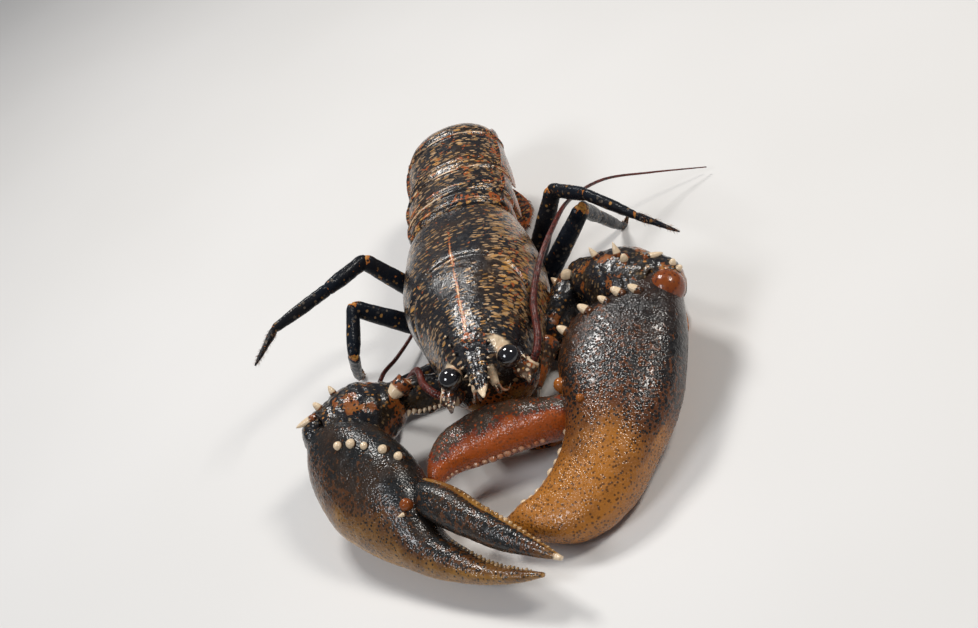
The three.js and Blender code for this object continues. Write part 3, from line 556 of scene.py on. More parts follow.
JAW_HAIRS = 260  # on each feeding leg
rng = np.random.default_rng(7)  # draws for the hairs of the mouth, the fan and the legs, in this order
for hand, side in SIDES:
    stalk = limb(
        mirrored(side, [(5, -58, 70, 3.5, 3.2), (6, -73, 69, 3.3, 2.9), (6.5, -84, 68, 2.3, 2.1)]),
        50, 28, ripple=0.06, pitch=8,
    )[0]
    parts = [skin(stalk, 0.3, 0.45, 0.4)]
    for i in range(2):
        whip_rows = [
            (5.4 + 2 * i, -82, 68, 1.15, 1.15), (6.2 + 2.9 * i, -86.2, 64.2, 0.9, 0.9),
            (6.6 + 4.4 * i, -84, 60.2, 0.65, 0.65), (7 + 6 * i, -76, 57, 0.4, 0.4),
        ]
        whip = limb(mirrored(side, whip_rows), 90, 10, up=(1, 0, 0), ripple=0.1, pitch=0.9, size=0.05)[0]
        parts.append(skin(whip, 0.3, 0.35, 0.2))
    lay(f"antennule_stalk_{hand}", parts, stalk_shell, [f"antennule_{hand}"])

    joints = mirrored(side, [(18, -54, 58), (22, -65.5, 58), (26, -70.5, 59), (31, -69, 62)])
    parts = []
    for k, (r0, r1) in enumerate(((7.4, 7.1), (6.9, 6.1), (5.8, 4.5))):
        a, b = joints[k], joints[k + 1]
        piece, t = limb(
            [
                (*a, r0, r0), (*(a + 0.45 * (b - a)), r0 * 1.05, r0), (*b, r1, r1),
                (*(b + 0.1 * (b - a)), r1 * 0.6, r1 * 0.6),
            ],
            40, 36, seed=3 + k,
        )
        edge = (0.35 * ease(t, 0.72, 0.95))[:, None]
        parts.append(skin(piece, 0.3 + edge * 0.5, 0.2 + edge, 0.6))
    scale_rows = [
        (21, -58, 62, 5, 2.4), (24, -70, 63.2, 5, 2.2), (25.6, -79, 62.4, 3.4, 1.6), (26, -86, 61, 0.8, 0.5)
    ]
    parts.append(skin(limb(mirrored(side, scale_rows), 60, 36, seed=5)[0], 0.15, 0.15, 0.4))
    for k in range(3):
        root = joints[1] + (joints[2] - joints[1]) * (0.2 + 0.3 * k) + np.array((side * 2, -4.6, 2.2))
        parts.append(horn(root, (side * 0.3, -1, 0.25), 1.2, 4.2, 10, 6))
    lay(f"feeler_root_{hand}", parts, stalk_shell, [f"antenna_base_{hand}"])

    jaw_rows = [
        (8, -42, 8, 5, 5.5), (9.5, -53, 9, 5.2, 6), (9.5, -61, 13, 4.4, 5), (8, -65, 20, 3.4, 3.6),
        (6, -66, 28, 1.2, 1.2),
    ]
    jaw, t = limb(mirrored(side, jaw_rows), 90, 36, ripple=0.05, pitch=13, seed=6)
    orange = 0.25 + 0.5 * (np.cos(2 * np.pi * t * 3.2) > 0.8)
    picks = rng.integers(25, 88, JAW_HAIRS)
    turn = 0.25 + 0.5 * rng.random(JAW_HAIRS) * side + (0.5 if side < 0 else 0.25)
    roots, aims = ring_spots(jaw, picks, turn)
    hairs = bristles(roots, aims + np.array((0, -0.4, 0.5)), 2.5 + 2.5 * rng.random(JAW_HAIRS))
    parts = [skin(jaw, orange[:, None], 0.2, 0.4), hairs]
    lay(f"feeding_leg_{hand}", parts, stalk_shell, [f"maxilliped_{hand}"])


# Antennae: long whips of hundreds of short rings, thick at the root and fine as wire at the end. The
# left one sweeps back past the carapace, the right one loops down behind the claw.
ANTENNA_RADIUS, ANTENNA_RINGS = 2.8, 1400
antenna_routes = {
    "left": [
        (37, -60, 66), (42, -26, 73), (53, 4, 78), (68, 38, 77), (83, 80, 64), (108, 111, 48), (141, 129, 26),
        (181, 137, 6),
    ],
    "right": [
        (-39, -60, 66), (-43, -48, 61), (-46, -32, 57), (-53, -14, 46), (-68, -5, 31), (-83, 3, 22),
        (-91, 15, 20), (-88, 29, 19.5), (-78, 48, 15), (-65, 70, 13), (-52, 103, 11), (-50, 143, 8),
        (-52, 193, 3),
    ],
}
for hand, side in SIDES:
    aim = unit(np.array((side * 0.7, 0.45, 0.55)))
    root = np.array((side * 31, -69, 62))
    line = run_through(np.vstack([root - aim, root + 5 * aim, antenna_routes[hand]]), ANTENNA_RINGS)
    radius = 0.94 * ANTENNA_RADIUS * (1 - 0.84 * np.linspace(0, 1, len(line)))
    rows = np.column_stack([line, radius, radius])
    whip = limb(rows, ANTENNA_RINGS, 12, ripple=0.045, pitch=1.5, size=0.05)[0]
    lay(
        f"antenna_whip_{hand}", [skin(whip, (0.35 + 0.3 * wander(line, 22, 3))[:, None], 0, 0.15)],
        feeler_shell, [f"antenna_{hand}", f"antenna_tip_{hand}"],
    )


# Tail: six overlapping arches of shell, each sliding under the rim of the one before it, with a
# pointed side plate. The back is dashed across, and each rim carries a thin pale line.
TAIL_WIDTHS = [38, 41, 41, 39, 36.5, 34, 31]  # half widths at the rims, front to rear
SEGMENT_LENGTHS = [17, 29, 50, 39, 36.5, 40]
TAIL_TOP, TAIL_TURN, TAIL_SWING = 91, 188, 5
TAIL_THICKNESS, TAIL_ARCH = 42, 27
CURL_RADIUS = TAIL_TOP / 2
CARAPACE_REAR = 91


def tail_line(distance, depth):
    """A point at a distance along the tail's outer line and a depth below it, and the way out there.
    The line is level to the turn and then runs round half a circle to the floor, and sways as a
    quarter sine."""
    distance, depth = np.broadcast_arrays(np.asarray(distance, float), depth)
    level = TAIL_TURN - CARAPACE_REAR
    sway = TAIL_SWING * np.sin(np.pi / 2 * np.minimum(distance / level, 2.3))
    angle = np.clip((distance - level) / CURL_RADIUS, 0, np.pi)
    flat = np.maximum(distance - level - np.pi * CURL_RADIUS, 0)
    out = np.stack([0 * angle, np.sin(angle), np.cos(angle)], -1)
    y = TAIL_TURN + np.minimum(distance - level, 0) - flat
    return np.stack([sway, y, CURL_RADIUS + 0 * flat], -1) + out * (CURL_RADIUS - depth)[:, None], out


tail_shell = shell_finish("tail_shell", BLACK, BROWN, TAN, ORANGE, GOLD, BONE, (140, 470, 370))


def tail_arch(index):
    """Rings along the segment, arched above and shallower below. The rear rim rises as a step and the
    front slides in; two shallow grooves cross the back. Pale marks run along the rims."""
    start, length = sum(SEGMENT_LENGTHS[:index]), SEGMENT_LENGTHS[index]
    front, rear = TAIL_WIDTHS[index], TAIL_WIDTHS[index + 1]
    count = int(50 + 2.2 * length)
    share = np.linspace(0, 1, count)
    inset = 1.7 * ease(share, 0.16, 0.0) + 0.5 * (1 - share)
    half = front + (rear - front) * share - inset
    point, out = tail_line(start + 0.15 + share * (length - 0.3), TAIL_ARCH)
    low = TAIL_THICKNESS - TAIL_ARCH - (8 * share if index == 5 else 0) - inset
    grid = hoops(point, (1, 0, 0), out, half, TAIL_ARCH - inset, 190, 2.1, low)
    along = share[:, None] * length + 0 * grid[..., 0]
    lift = 0.7 * bump(along, length - 1.4, 1.3) - 0.8 * bump(along, length - 4.4, 1.2)
    lift += -0.6 * bump(along, 0.2 * length, 1.1) + 0.25 * (wander(grid, 3, index) - 0.5)
    above = ((grid - point[:, None]) * out[:, None]).sum(-1) / TAIL_ARCH
    lift *= ease(above, -0.35, 0.1)
    grid = raised(grid, lift)
    rim = (bump(along, length - 2.6, 0.55) + 0.8 * bump(along, 0.24 * length, 0.5)) * ease(above, -0.1, 0.2)
    side = ease(np.abs(grid[..., 0] - point[:, None, 0]) / half[:, None], 0.62, 0.95)
    blotch = ease(wander(grid, 8, 20 + index), 0.6, 0.8)
    rim *= ease(wander(grid, 7, 40 + index), 0.25, 0.55)
    pale = 0.55 * rim + 0.35 * ease(above, -0.25, -0.6) + 0.2 * (wander(grid, 2.5, 3) - 0.5)
    orange = 0.22 * side + 0.5 * rim + 0.28 * blotch + 0.5 * ease(above, -0.1, -0.5)
    flecks = 0.52 + 0.5 * (wander(grid, 12, 8) - 0.45) + 0.25 * side
    return skin(grid, orange, pale, flecks)


# Each plate's rings: share of the tail's depth, for an open and for a curled segment, then the step
# back, the share of the segment's length, the thickness and how far in from the side.
PLATE_SHARES = [(0.36, 0.5, 0.88, 1.12, 1.3), (0.38, 0.45, 0.66, 0.77, 0.84)]
PLATE_ROWS = [
    (0, 0, 1, 1.6, 2), (0.42, 0.4, 0.33, 0.2, 0.05), (2.6, 3, 2.4, 1.7, 0.8), (4.2, 3.4, 3, 3.4, 4)
]


def side_plate(index, side):
    """The pointed plate at a segment's side: rings that narrow and thin as they hang down, shorter
    where the tail curls."""
    start, length = sum(SEGMENT_LENGTHS[:index]), SEGMENT_LENGTHS[index]
    half = (TAIL_WIDTHS[index] + TAIL_WIDTHS[index + 1]) / 2
    curled = index > 2
    rows = np.column_stack([PLATE_SHARES[curled], *PLATE_ROWS]) * (1, 0.2, 1, 0.1, 0.1)
    share, i, span, thick, inner = run_through(rows, 40).T * np.array([[1], [5], [1], [10], [10]])
    depth = share * TAIL_THICKNESS
    point, out = tail_line(start + (0.5 + 0.06 * i) * length, depth)
    forward = np.stack([0 * depth, out[:, 2], -out[:, 1]], -1)
    point[:, 0] += side * (half - inner)
    narrow = 1 - depth / CURL_RADIUS if curled else 1
    grid = hoops(point, forward, (1, 0, 0), span * length * narrow, thick, 60)
    edge = ease(share, 0.6, 1.1)[:, None]
    return skin(grid, 0.3 + 0.35 * edge, 0.25 * edge, 0.5)


for index in range(6):
    shells = [tail_arch(index)]
    if index < 5:
        shells += [side_plate(index, side) for side in (-1, 1)]
    lay(f"tail_arch_{index + 1}", shells, tail_shell, [f"tail_segment_{index + 1}"])


# Tail fan: a middle plate and two blades on each side, one over another, folded forward under the
# tail. Each is thin shell with low ribs and a fringe of fine hairs round its end.
FAN_LENGTH, FAN_THICKNESS = 62, 3.4
BLADE_RINGS, BLADE_HAIRS = 120, 700
fan_shell = shell_finish(
    "fan_shell", BLACK, (0.05, 0.024, 0.012), TAN, ORANGE, GOLD, BONE, (260, 230, 260), dots=0.4
)


def fan_blade(name, layer, root_x, tip_x, halves, length, node):
    """Rings across a flat blade that follows the tail's line, ribbed by a cosine of the place across,
    with hairs set round the far half of its edge."""
    halves = run_through(np.stack([np.linspace(0, 60, len(halves)), halves], -1), BLADE_RINGS)[:, 1]
    share = np.linspace(0, 1, BLADE_RINGS)
    depth = layer * (FAN_THICKNESS + 0.3) + FAN_THICKNESS / 2
    point, out = tail_line(sum(SEGMENT_LENGTHS) + 0.15 + share * length, depth)
    point[:, 0] = root_x + (tip_x - root_x) * share
    grid = hoops(point, (1, 0, 0), out, halves, FAN_THICKNESS / 2 * (1 - 0.35 * share), 96, 3)
    across = (grid[..., 0] - point[:, None, 0]) / halves[:, None]
    lift = 0.28 * np.cos(across * np.pi * 3) * ease(share, 0.05, 0.3)[:, None]
    lift += 0.2 * (wander(grid, 2.6, layer) - 0.5)
    grid = raised(grid, 0.7 * lift)
    rim = np.maximum(ease(np.abs(across), 0.8, 1), ease(share, 0.86, 1)[:, None])
    n = BLADE_HAIRS
    rings = rng.integers(55, BLADE_RINGS, n)
    ends = np.where(rng.random(n) < 0.5, 0.0, 0.5)
    late = rng.random(n) < 0.45
    rings[late] = BLADE_RINGS - 1
    ends[late] = rng.random(late.sum())
    roots, aims = ring_spots(grid, rings, ends + 0.01 * rng.standard_normal(n))
    along = unit(np.gradient(point, axis=0))[rings]
    hairs = bristles(roots, aims * 0.5 + along, 2.2 + 2.4 * rng.random(n), 0.1, 0.1, (0.5, 0.35, 0))
    shells = [skin(grid, 0.3 + 0.35 * rim, 0.3 * rim, 0.5), hairs]
    lay(name, shells, fan_shell, [node])


fan_blade("fan_middle", 0, 0, 0, [15, 18, 19, 18.5, 18, 17, 14, 7], FAN_LENGTH, "telson")
for hand, side in SIDES:
    for which, layer, root_x, tip_x, halves, longer in (
        ("inner", 1, 18, 25, [7, 11, 14, 15.5, 16, 15.5, 13, 6], 4),
        ("outer", 2, 24, 33, [6, 10, 13, 14.5, 15, 14.5, 12, 6], 2),
    ):
        name, node = f"fan_{which}_{hand}", f"uropod_{which}_{hand}"
        fan_blade(name, layer, side * root_x, side * tip_x, halves, FAN_LENGTH + longer, node)


# Walking legs: four pairs of smooth blue-black rods, jointed at hip, knee and wrist, orange at each
# joint, with hair tufts on the feet. The first two pairs end in small pincers.
LEG_LENGTHS = np.array([16, 76, 35, 46, 34])
leg_shell = shell_finish(
    "leg_shell", (0.0075, 0.0105, 0.0165), (0.012, 0.012, 0.014), (0.16, 0.13, 0.1), (0.4, 0.13, 0.03),
    GOLD, BONE, (240, 240, 240), coat=0.12, shine=0.1,
)
# Each leg: side, place along the body, scale, and the bearing and rise of its five lengths.
leg_poses = {
    "1_left": (1, 2, 0.8, [(70, 0), (46, 0), (-23, -4), (-75, -5), (-100, -6)]),
    "2_left": (1, 28, 0.9, [(98, 5), (108, 0), (58, -5), (-3, -5), (-13, -6)]),
    "3_left": (1, 57, 0.98, [(88, 18), (94, 44), (164, -48), (158, -50), (155, -40)]),
    "4_left": (1, 82, 0.95, [(88, 20), (91, 57), (40, 5), (37, -10), (50, -22)]),
    "1_right": (-1, 2, 0.72, [(90, 0), (90, 0), (12, -4), (2, -6), (-18, -7)]),
    "2_right": (-1, 28, 0.85, [(90, 0), (86, 0), (42, -4), (7, -5), (-13, -6)]),
    "3_right": (-1, 52, 1, [(98, 10), (86, 48), (17, -30), (150, -52), (173, -40)]),
    "4_right": (-1, 86, 1, [(92, 10), (88, 62), (52, 6), (62, 1), (27, -3)]),
}
# Each length, from hip to foot: share along it, half width and half height of its rings.
ROD_SIZES = [
    [(-0.3, 5.6, 6.4), (0.4, 5.8, 6.9), (0.9, 5.2, 6.4), (1.12, 3.8, 4.8)],
    [(-0.04, 3.4, 4.6), (0.02, 4.7, 6.1), (0.25, 4.9, 7.5), (0.6, 4.8, 7.4), (0.88, 4.7, 6.5),
     (0.985, 4.3, 6.1), (1.02, 3.2, 4.6)],
    [(-0.06, 3, 4.4), (0.02, 4, 5.7), (0.28, 4.4, 5.8), (0.8, 4.6, 5.6), (0.98, 3.8, 4.8),
     (1.05, 2.8, 3.6)],
    [(-0.05, 2.6, 3.4), (0.03, 3.7, 4.6), (0.2, 3.8, 4.8), (0.85, 3, 3.8), (1.0, 2.4, 3), (1.04, 1.8, 2.2)],
    [(-0.06, 1.7, 2.1), (0.05, 2.3, 2.9), (0.5, 1.8, 2.2), (0.86, 1.1, 1.3), (1, 0.5, 0.6)],
]


def leg_joints(side, station, scale, turns):
    """The leg's joints: each length is laid off along its bearing, 0 forward and 90 straight out, and
    its rise, both in degrees."""
    bearing, rise = np.radians(turns).T
    steps = [side * np.sin(bearing) * np.cos(rise), -np.cos(bearing) * np.cos(rise), np.sin(rise)]
    root = np.array((side * 20, station, 9.0))
    lengths = (LEG_LENGTHS * scale)[:, None]
    return np.vstack([root, root + np.cumsum(np.stack(steps, -1) * lengths, 0)])


def rod(a, b, sizes, scale, seed, banded):
    """One length of a leg from a to b: rings whose half widths and heights follow the sizes, rounded
    off at both ends, with an orange band at each of the banded shares along it."""
    t, w, h = np.array(sizes, float).T
    line = a + (b - a) * t[:, None]
    grid, share = limb(np.column_stack([line, w * scale, h * scale]), 70, 30, seed=seed, size=0.35)
    near = np.max([bump(share, end, 0.035) for end in banded], axis=0)[:, None]
    orange = near * (0.35 + 0.9 * wander(grid, 4, seed)) + 0.1 * (wander(grid, 5, seed) - 0.5)
    return grid, skin(grid, orange, 0.2 * near, 0.25, limits=(-1, 2))


HAIRS_PER_FOOT = 170
for leg_name, (side, station, scale, turns) in leg_poses.items():
    joints = leg_joints(side, station, scale, turns)
    seed = 11 + len(leg_name) + station
    rods = [
        rod(a, b, sizes, scale, seed + k, (0, 1) if k < 4 else (0,))
        for k, (a, b, sizes) in enumerate(zip(joints, joints[1:], ROD_SIZES))
    ]
    shells = [shell for grid, shell in rods]
    claw, ankle, ahead = rods[-1][0], joints[-2], joints[-1] - joints[-2]
    if leg_name[0] in "12":
        aside = unit(np.cross((0, 0, 1), ahead))
        finger = [
            (*(ankle + ahead * s + aside * o * scale), r * scale, 1.15 * r * scale)
            for s, o, r in ((-0.2, 0, 2.2), (0.15, 3.6, 2.3), (0.6, 4.6, 1.7), (0.98, 1.9, 0.6))
        ]
        shells.append(skin(limb(finger, 60, 24, seed=seed, size=0.2)[0], 0.5, 0.3, 0.3))
    picks = rng.integers(8, 66, HAIRS_PER_FOOT)
    roots, aims = ring_spots(claw, picks, rng.random(HAIRS_PER_FOOT))
    long = 1.4 + 1.6 * rng.random(HAIRS_PER_FOOT)
    shells.append(bristles(roots, aims + 0.9 * unit(ahead), long, 0.11, 0.15, (0.45, 0.4, 0)))
    nodes = [f"leg_{length}_{leg_name}" for length in ("upper", "middle", "foot")]
    lay(f"walking_leg_{leg_name}", shells, leg_shell, nodes)


# Claw arms: a short root, a deep upper arm with a row of small spines and a pale hinge knob, and a
# swollen carpus with bony beads, both black with orange blotches.
def claw_frame(wrist, heading, pitch, roll, side):
    """The claw's own axes: ahead to the finger tips, outward to the outer edge and normal out of the
    broad face, turned by heading, pitch and roll in degrees."""
    h, p, r = np.radians((heading, pitch, roll))
    ahead = np.array((-side * np.sin(h) * np.cos(p), -np.cos(h) * np.cos(p), -np.sin(p)))
    level = np.array((side * np.cos(h), -np.sin(h), 0))
    face = unit(np.cross(ahead, level))
    face = face if face[2] > 0 else -face
    outer, normal = level * np.cos(r) - face * np.sin(r), face * np.cos(r) + level * np.sin(r)
    return {"wrist": np.array(wrist, float), "ahead": ahead, "outward": outer, "normal": normal}


def spot(claw, s, a, n=0.0):
    """The point at s along, a across and n above the claw's middle plane."""
    s, a, n = (np.asarray(v, float)[..., None] for v in (s, a, n))
    return claw["wrist"] + claw["ahead"] * s + claw["outward"] * a + claw["normal"] * n


crusher = claw_frame((116.5, -36, 48), 48.5, 10, 11, 1)
cutter = claw_frame((-121, -46, 51), 40.2, 6.5, 40, -1)
arm_shell = shell_finish(
    "arm_shell", BLACK, (0.03, 0.019, 0.009), (0.2, 0.13, 0.065), (0.2, 0.055, 0.012),
    (0.42, 0.17, 0.03), BONE, (300, 420, 300),
)
knob_shell = shell_finish(
    "knob_shell", (0.16, 0.035, 0.01), (0.06, 0.015, 0.008), TAN, (0.17, 0.032, 0.008),
    (0.33, 0.1, 0.015), BONE, gloss=0.08, dots=0.2, rough=0.3,
)


def meet(a, b, c):
    """The direction half way between a to b and b to c."""
    return unit(unit(b - a) + unit(c - b))


def arm_length(stops, seed, count=90, sides=64, size=0.9):
    """One length of a claw arm through its stops, each a point, a half width and a half height. It is
    uneven like worn shell, with orange blotches and an orange rim at its far end."""
    rows = [(*point, w, h) for point, w, h in stops]
    grid, share = limb(rows, count, sides, seed=seed, size=size, power=2.15)
    grid = raised(grid, 1.3 * (wander(grid, 11, seed + 2) - 0.5))
    blotch = ease(0.7 * wander(grid, 9, seed + 5) + 0.3 * wander(grid, 4, seed), 0.52, 0.72)
    under = ease(outward(grid)[..., 2], 0.0, -0.7)
    rim = ease(share, 0.93, 0.99)[:, None]
    orange = 0.62 * blotch + 0.45 * under + 0.3 * rim * (blotch > 0.2)
    return skin(grid, orange, 0.2 * rim * blotch, 0.35)


def arm_horns(a, b, rows):
    """Spines on an arm: each row gives the share along it, the angle round it, the distance out to
    the spine's root, its radius and its length, and how blunt it is."""
    axis = unit(b - a)
    level = unit(np.cross((0, 0, 1), axis))
    made = []
    for share, degrees, distance, radius, length, blunt in rows:
        angle = np.radians(degrees)
        aim = level * np.cos(angle) + np.cross(axis, level) * np.sin(angle)
        root = a + (b - a) * share + aim * distance
        made.append(horn(root, aim + 0.35 * axis, radius, length, 20, 12, blunt))
    return made


def claw_arm(hand, joints, wrist_turn, spines, arm_spines):
    """Lays the three lengths of one arm through its joints: the root, the upper arm with its spines,
    and the carpus with its beads, each given by place, aim, radius, length and bluntness."""
    root, elbow, bend, wrist = (np.array(j, float) for j in joints)
    turn_1, turn_2 = meet(root, elbow, bend), meet(elbow, bend, wrist)
    base = [
        (root - 3 * turn_1, 8.4, 7.6), (root + (elbow - root) * 0.5, 9.2, 9.2), (elbow, 9, 10),
        (elbow + 2 * turn_1, 6, 7),
    ]
    shells = [arm_length(base, 31, 60, 48)]
    lay(f"claw_root_{hand}", shells, stalk_shell, [f"cheliped_base_{hand}"])
    upper = [
        (elbow - 3 * turn_1, 6, 7), (elbow + turn_1, 9, 10), (elbow + (bend - elbow) * 0.4, 10, 13),
        (elbow + (bend - elbow) * 0.78, 11, 14), (bend - 2.5 * turn_2, 9.6, 12),
        (bend + 1.5 * turn_2, 7.5, 9.5),
    ]
    shells = [arm_length(upper, 33), *arm_horns(elbow, bend, arm_spines)]
    lay(f"claw_upper_arm_{hand}", shells, arm_shell, [f"cheliped_arm_{hand}"])
    carpus = [
        (bend - 2 * turn_2, 7, 9), (bend + 2.5 * turn_2, 10.5, 12.5), (bend + (wrist - bend) * 0.24, 17, 19),
        (bend + (wrist - bend) * 0.5, 23.6, 23.6), (bend + (wrist - bend) * 0.8, 21.8, 21.8),
        (wrist - 1.2 * wrist_turn, 15, 16), (wrist + 1.5 * wrist_turn, 11, 12),
    ]
    beads = [horn(at, aim, r, long, 20, 12, blunt) for at, aim, r, long, blunt in spines]
    shells = [arm_length(carpus, 35, 120, 96, 1.3), *beads]
    lay(f"claw_carpus_{hand}", shells, arm_shell, [f"cheliped_carpus_{hand}"])


claw_arm(
    "left",
    [(18, -36, 20), (36, -14, 30), (68, 17, 42), spot(crusher, -6, 0)],
    crusher["ahead"],
    [
        ((87.8, -0.3, 67.2), (-0.3, 0.5, 1), 2.6, 8, 1.3), ((101.7, -10.5, 70), (0, 0.4, 1), 2.8, 9, 1.2),
        ((104.7, -18.5, 69.4), (0.1, -0.1, 1), 2.7, 5.5, 2),
        ((118.5, -22, 67.5), (1, 0.15, -0.25), 2.6, 11, 1.7), ((131.8, -30.4, 61.5), (0.5, 0, 1), 2.4, 4, 2),
        ((133.6, -33, 58), (0.8, -0.2, 0.6), 2.4, 4, 2),
    ],
    [
        (0.3, 25, 9, 1.6, 4, 1.3), (0.55, 25, 10.5, 2, 5, 1.3), (0.85, 20, 10.5, 3, 8, 1.4),
        (0.92, 95, 11.5, 4.4, 6, 2),
    ],
)
KNOB_RADIUS = 11.6
ring_place = np.sin(np.linspace(-1.5, 1.52, 24))  # a ball's rings, closer together at its poles
knob = turned_shell(
    (123.6, -41.7, 54.9), (0, -0.6, 1), KNOB_RADIUS * ring_place,
    KNOB_RADIUS * np.sqrt(1 - ring_place**2), 40, (0.62, 0.05, 0.1), 30,
)
lay("claw_hinge_knob_left", [knob], knob_shell, [])
claw_arm(
    "right",
    [(-16, -38, 20), (-32, -31, 34), (-64, -31, 42), spot(cutter, 6, 0)],
    cutter["ahead"],
    [
        ((-83.1, -63, 52.4), (0.5, -0.7, 0.6), 3.6, 5.5, 2),
        ((-61, -36.5, 56), (-0.77, -0.4, -0.19), 6.2, 13, 1.4),
        ((-103.5, -30.5, 67), (-0.2, 0.5, 1), 2.4, 6, 1.5), ((-113.5, -40, 66.5), (-0.5, 0.4, 1), 2.6, 6, 2),
        ((-119, -46, 66), (-1, -0.1, -0.1), 2.8, 13, 1.6),
    ],
    [
        (s, -22 if s < 0.8 else -15, 9.5 + 1.5 * s, 1.2 + 0.8 * s, 3 + 2.5 * s**3, 1.3)
        for s in np.linspace(0.1, 0.92, 9)
    ] + [(0.93, 75, 10.5, 5.5, 7, 2)],
)


# Crusher: the broad left claw, with a swollen palm and a stout moving finger, both edged with blunt
# molar teeth. Black at the wrist, it turns to orange with dark dots and an olive band by the rim.
def claw_blade(claw, rows, count, sides, depth, waves, ridge=0.0):
    """A palm or finger: rings between an outer and an inner edge, each row holding s and a of the
    outer edge, s and a of the inner one, and the thickness. The waves of height and width, and a ridge
    by the outer edge, lift it. Returns the grid and each point's place along, its place across from
    -1 to 1, and its height over the middle in units of the depth."""
    so, ao, si, ai, thick = run_through(rows, count).T
    outer, inner = spot(claw, so, ao), spot(claw, si, ai)
    across = unit(outer - inner)
    half = np.linalg.norm(outer - inner, axis=1) / 2
    grid = hoops((outer + inner) / 2, across, claw["normal"], half, thick / 2, sides, 2.25)
    off = grid - grid.mean(1, keepdims=True)
    wide = (off * across[:, None]).sum(-1) / half[:, None]
    high = (off * claw["normal"]).sum(-1) / depth
    along = ((so + si) / 2)[:, None] + 0 * wide
    lift = sum(size * (wander(grid, width, seed) - 0.5) for size, width, seed in waves)
    if ridge:
        lift += ridge * bump(wide, 0.93, 0.08) * wander(grid, 1.9, 4) * ease(along, 40, 70)
    grid = raised(grid, lift)
    return grid, along, wide, high


def placed_beads(grid, claw, places, aim, radius, length, marks=None, blunt=2.0):
    """Beads on a claw's upper surface: each sits on the grid point that faces up and is nearest to its
    place along and across. The aim is given as its outward and normal shares."""
    flat = grid.reshape(-1, 3)
    from_wrist = flat - claw["wrist"]
    seen = from_wrist @ claw["normal"] > 0
    s, a = from_wrist @ claw["ahead"], from_wrist @ claw["outward"]
    toward = claw["outward"] * aim[0] + claw["normal"] * aim[1]
    made = []
    for k, (s0, a0) in enumerate(places):
        root = flat[np.argmin((s - s0) ** 2 + (a - a0) ** 2 + 1e4 * ~seen)]
        size = 1 + 0.12 * np.sin(2.3 * k)
        made.append(horn(root, toward, radius * size, length * size, 20, 12, blunt, marks))
    return made


def edge_teeth(grid, claw, rings, place, radius, length, toward, marks, blunt=2.0):
    """Teeth along one edge of a claw at the given rings and share of a turn, growing to the middle of
    the row and aimed by toward times the outward axis."""
    draw = np.random.default_rng(5)
    made = []
    for k, ring in enumerate(rings):
        grow = 0.55 + 0.4 * np.sin(np.pi * (k + 0.5) / len(rings)) + 0.5 * (draw.random() - 0.5)
        root = grid[ring, int(place * grid.shape[1])]
        aim = claw["outward"] * toward + 0.2 * claw["normal"] * (draw.random() - 0.5) + 0.15 * claw["ahead"]
        made.append(horn(root, aim, radius * grow, length * grow, 16, 9, blunt, marks))
    return made


crusher_shell = shell_finish(
    "crusher_shell", (0.0105, 0.0095, 0.0095), (0.03, 0.0145, 0.009), (0.12, 0.065, 0.05),
    (0.105, 0.034, 0.01), (0.4, 0.15, 0.022), BONE, (420, 420, 420), gloss=0.18, dots=0.75, rough=0.9,
)
crusher_palm = [
    (-8, 13, -4, -13, 30), (14, 30, 14, -22, 40), (42, 45, 38, -38, 48), (72, 55, 66, -34, 52),
    (98, 57, 90, -16, 50), (128, 59, 112, 0, 42), (150, 54, 132, 5, 34), (166, 42, 150, 4, 26),
    (176, 20, 163, -2, 18), (181, 2, 178, -6, 6),
]
grid, along, wide, high = claw_blade(
    crusher, crusher_palm, 260, 240, 25, [(1.6, 26, 2), (0.35, 2.6, 3)], ridge=0.5
)
drift = 34 * (wander(grid, 22, 6) - 0.5)
orange = np.maximum.reduce([
    0.28 * ease(along + 0.5 * drift, 14, 44) + 0.72 * ease(along + drift + 12 * wide, 62, 142),
    0.9 * ease(wide, 0.9, 0.98) * ease(along, 45, 90),
    0.9 * ease(wide, -0.78, -0.95) * ease(along, 70, 88),
    0.9 * ease(high, -0.1, -0.55),
])
olive = 0.5 * bump(wide, 0.72, 0.16) * ease(along, 95, 120) * ease(along, 175, 160)
bead_places = [(11.8, -2.7), (17.5, -12), (26, -17.8), (36, -26), (52.3, -34)]
molar, tooth = (0.55, 0.95, 0), (0.9, 0.4, 0)
shells = [
    skin(grid, orange * (1 - 0.35 * olive), 0.12 * olive, 0.1),
    *placed_beads(grid, crusher, bead_places, (-0.9, 0.35), 2.9, 7),
    *edge_teeth(grid, crusher, range(132, 232, 9), 0.5, 3.4, 3.6, -1, molar),
    *edge_teeth(grid, crusher, range(236, 256, 5), 0.5, 1.4, 1.8, -1, molar),
]
lay("crusher_palm", shells, crusher_shell, ["crusher_palm_left"])
shells = [
    *placed_beads(grid, crusher, [(86, -17)], (-0.3, 1), 4.6, 5, (0.9, 0, 0)),
    *placed_beads(grid, crusher, [(93, 6.6)], (0, 1), 2.6, 3, (1, 0, 0)),
]
lay("crusher_hinge_knobs", shells, knob_shell, [])

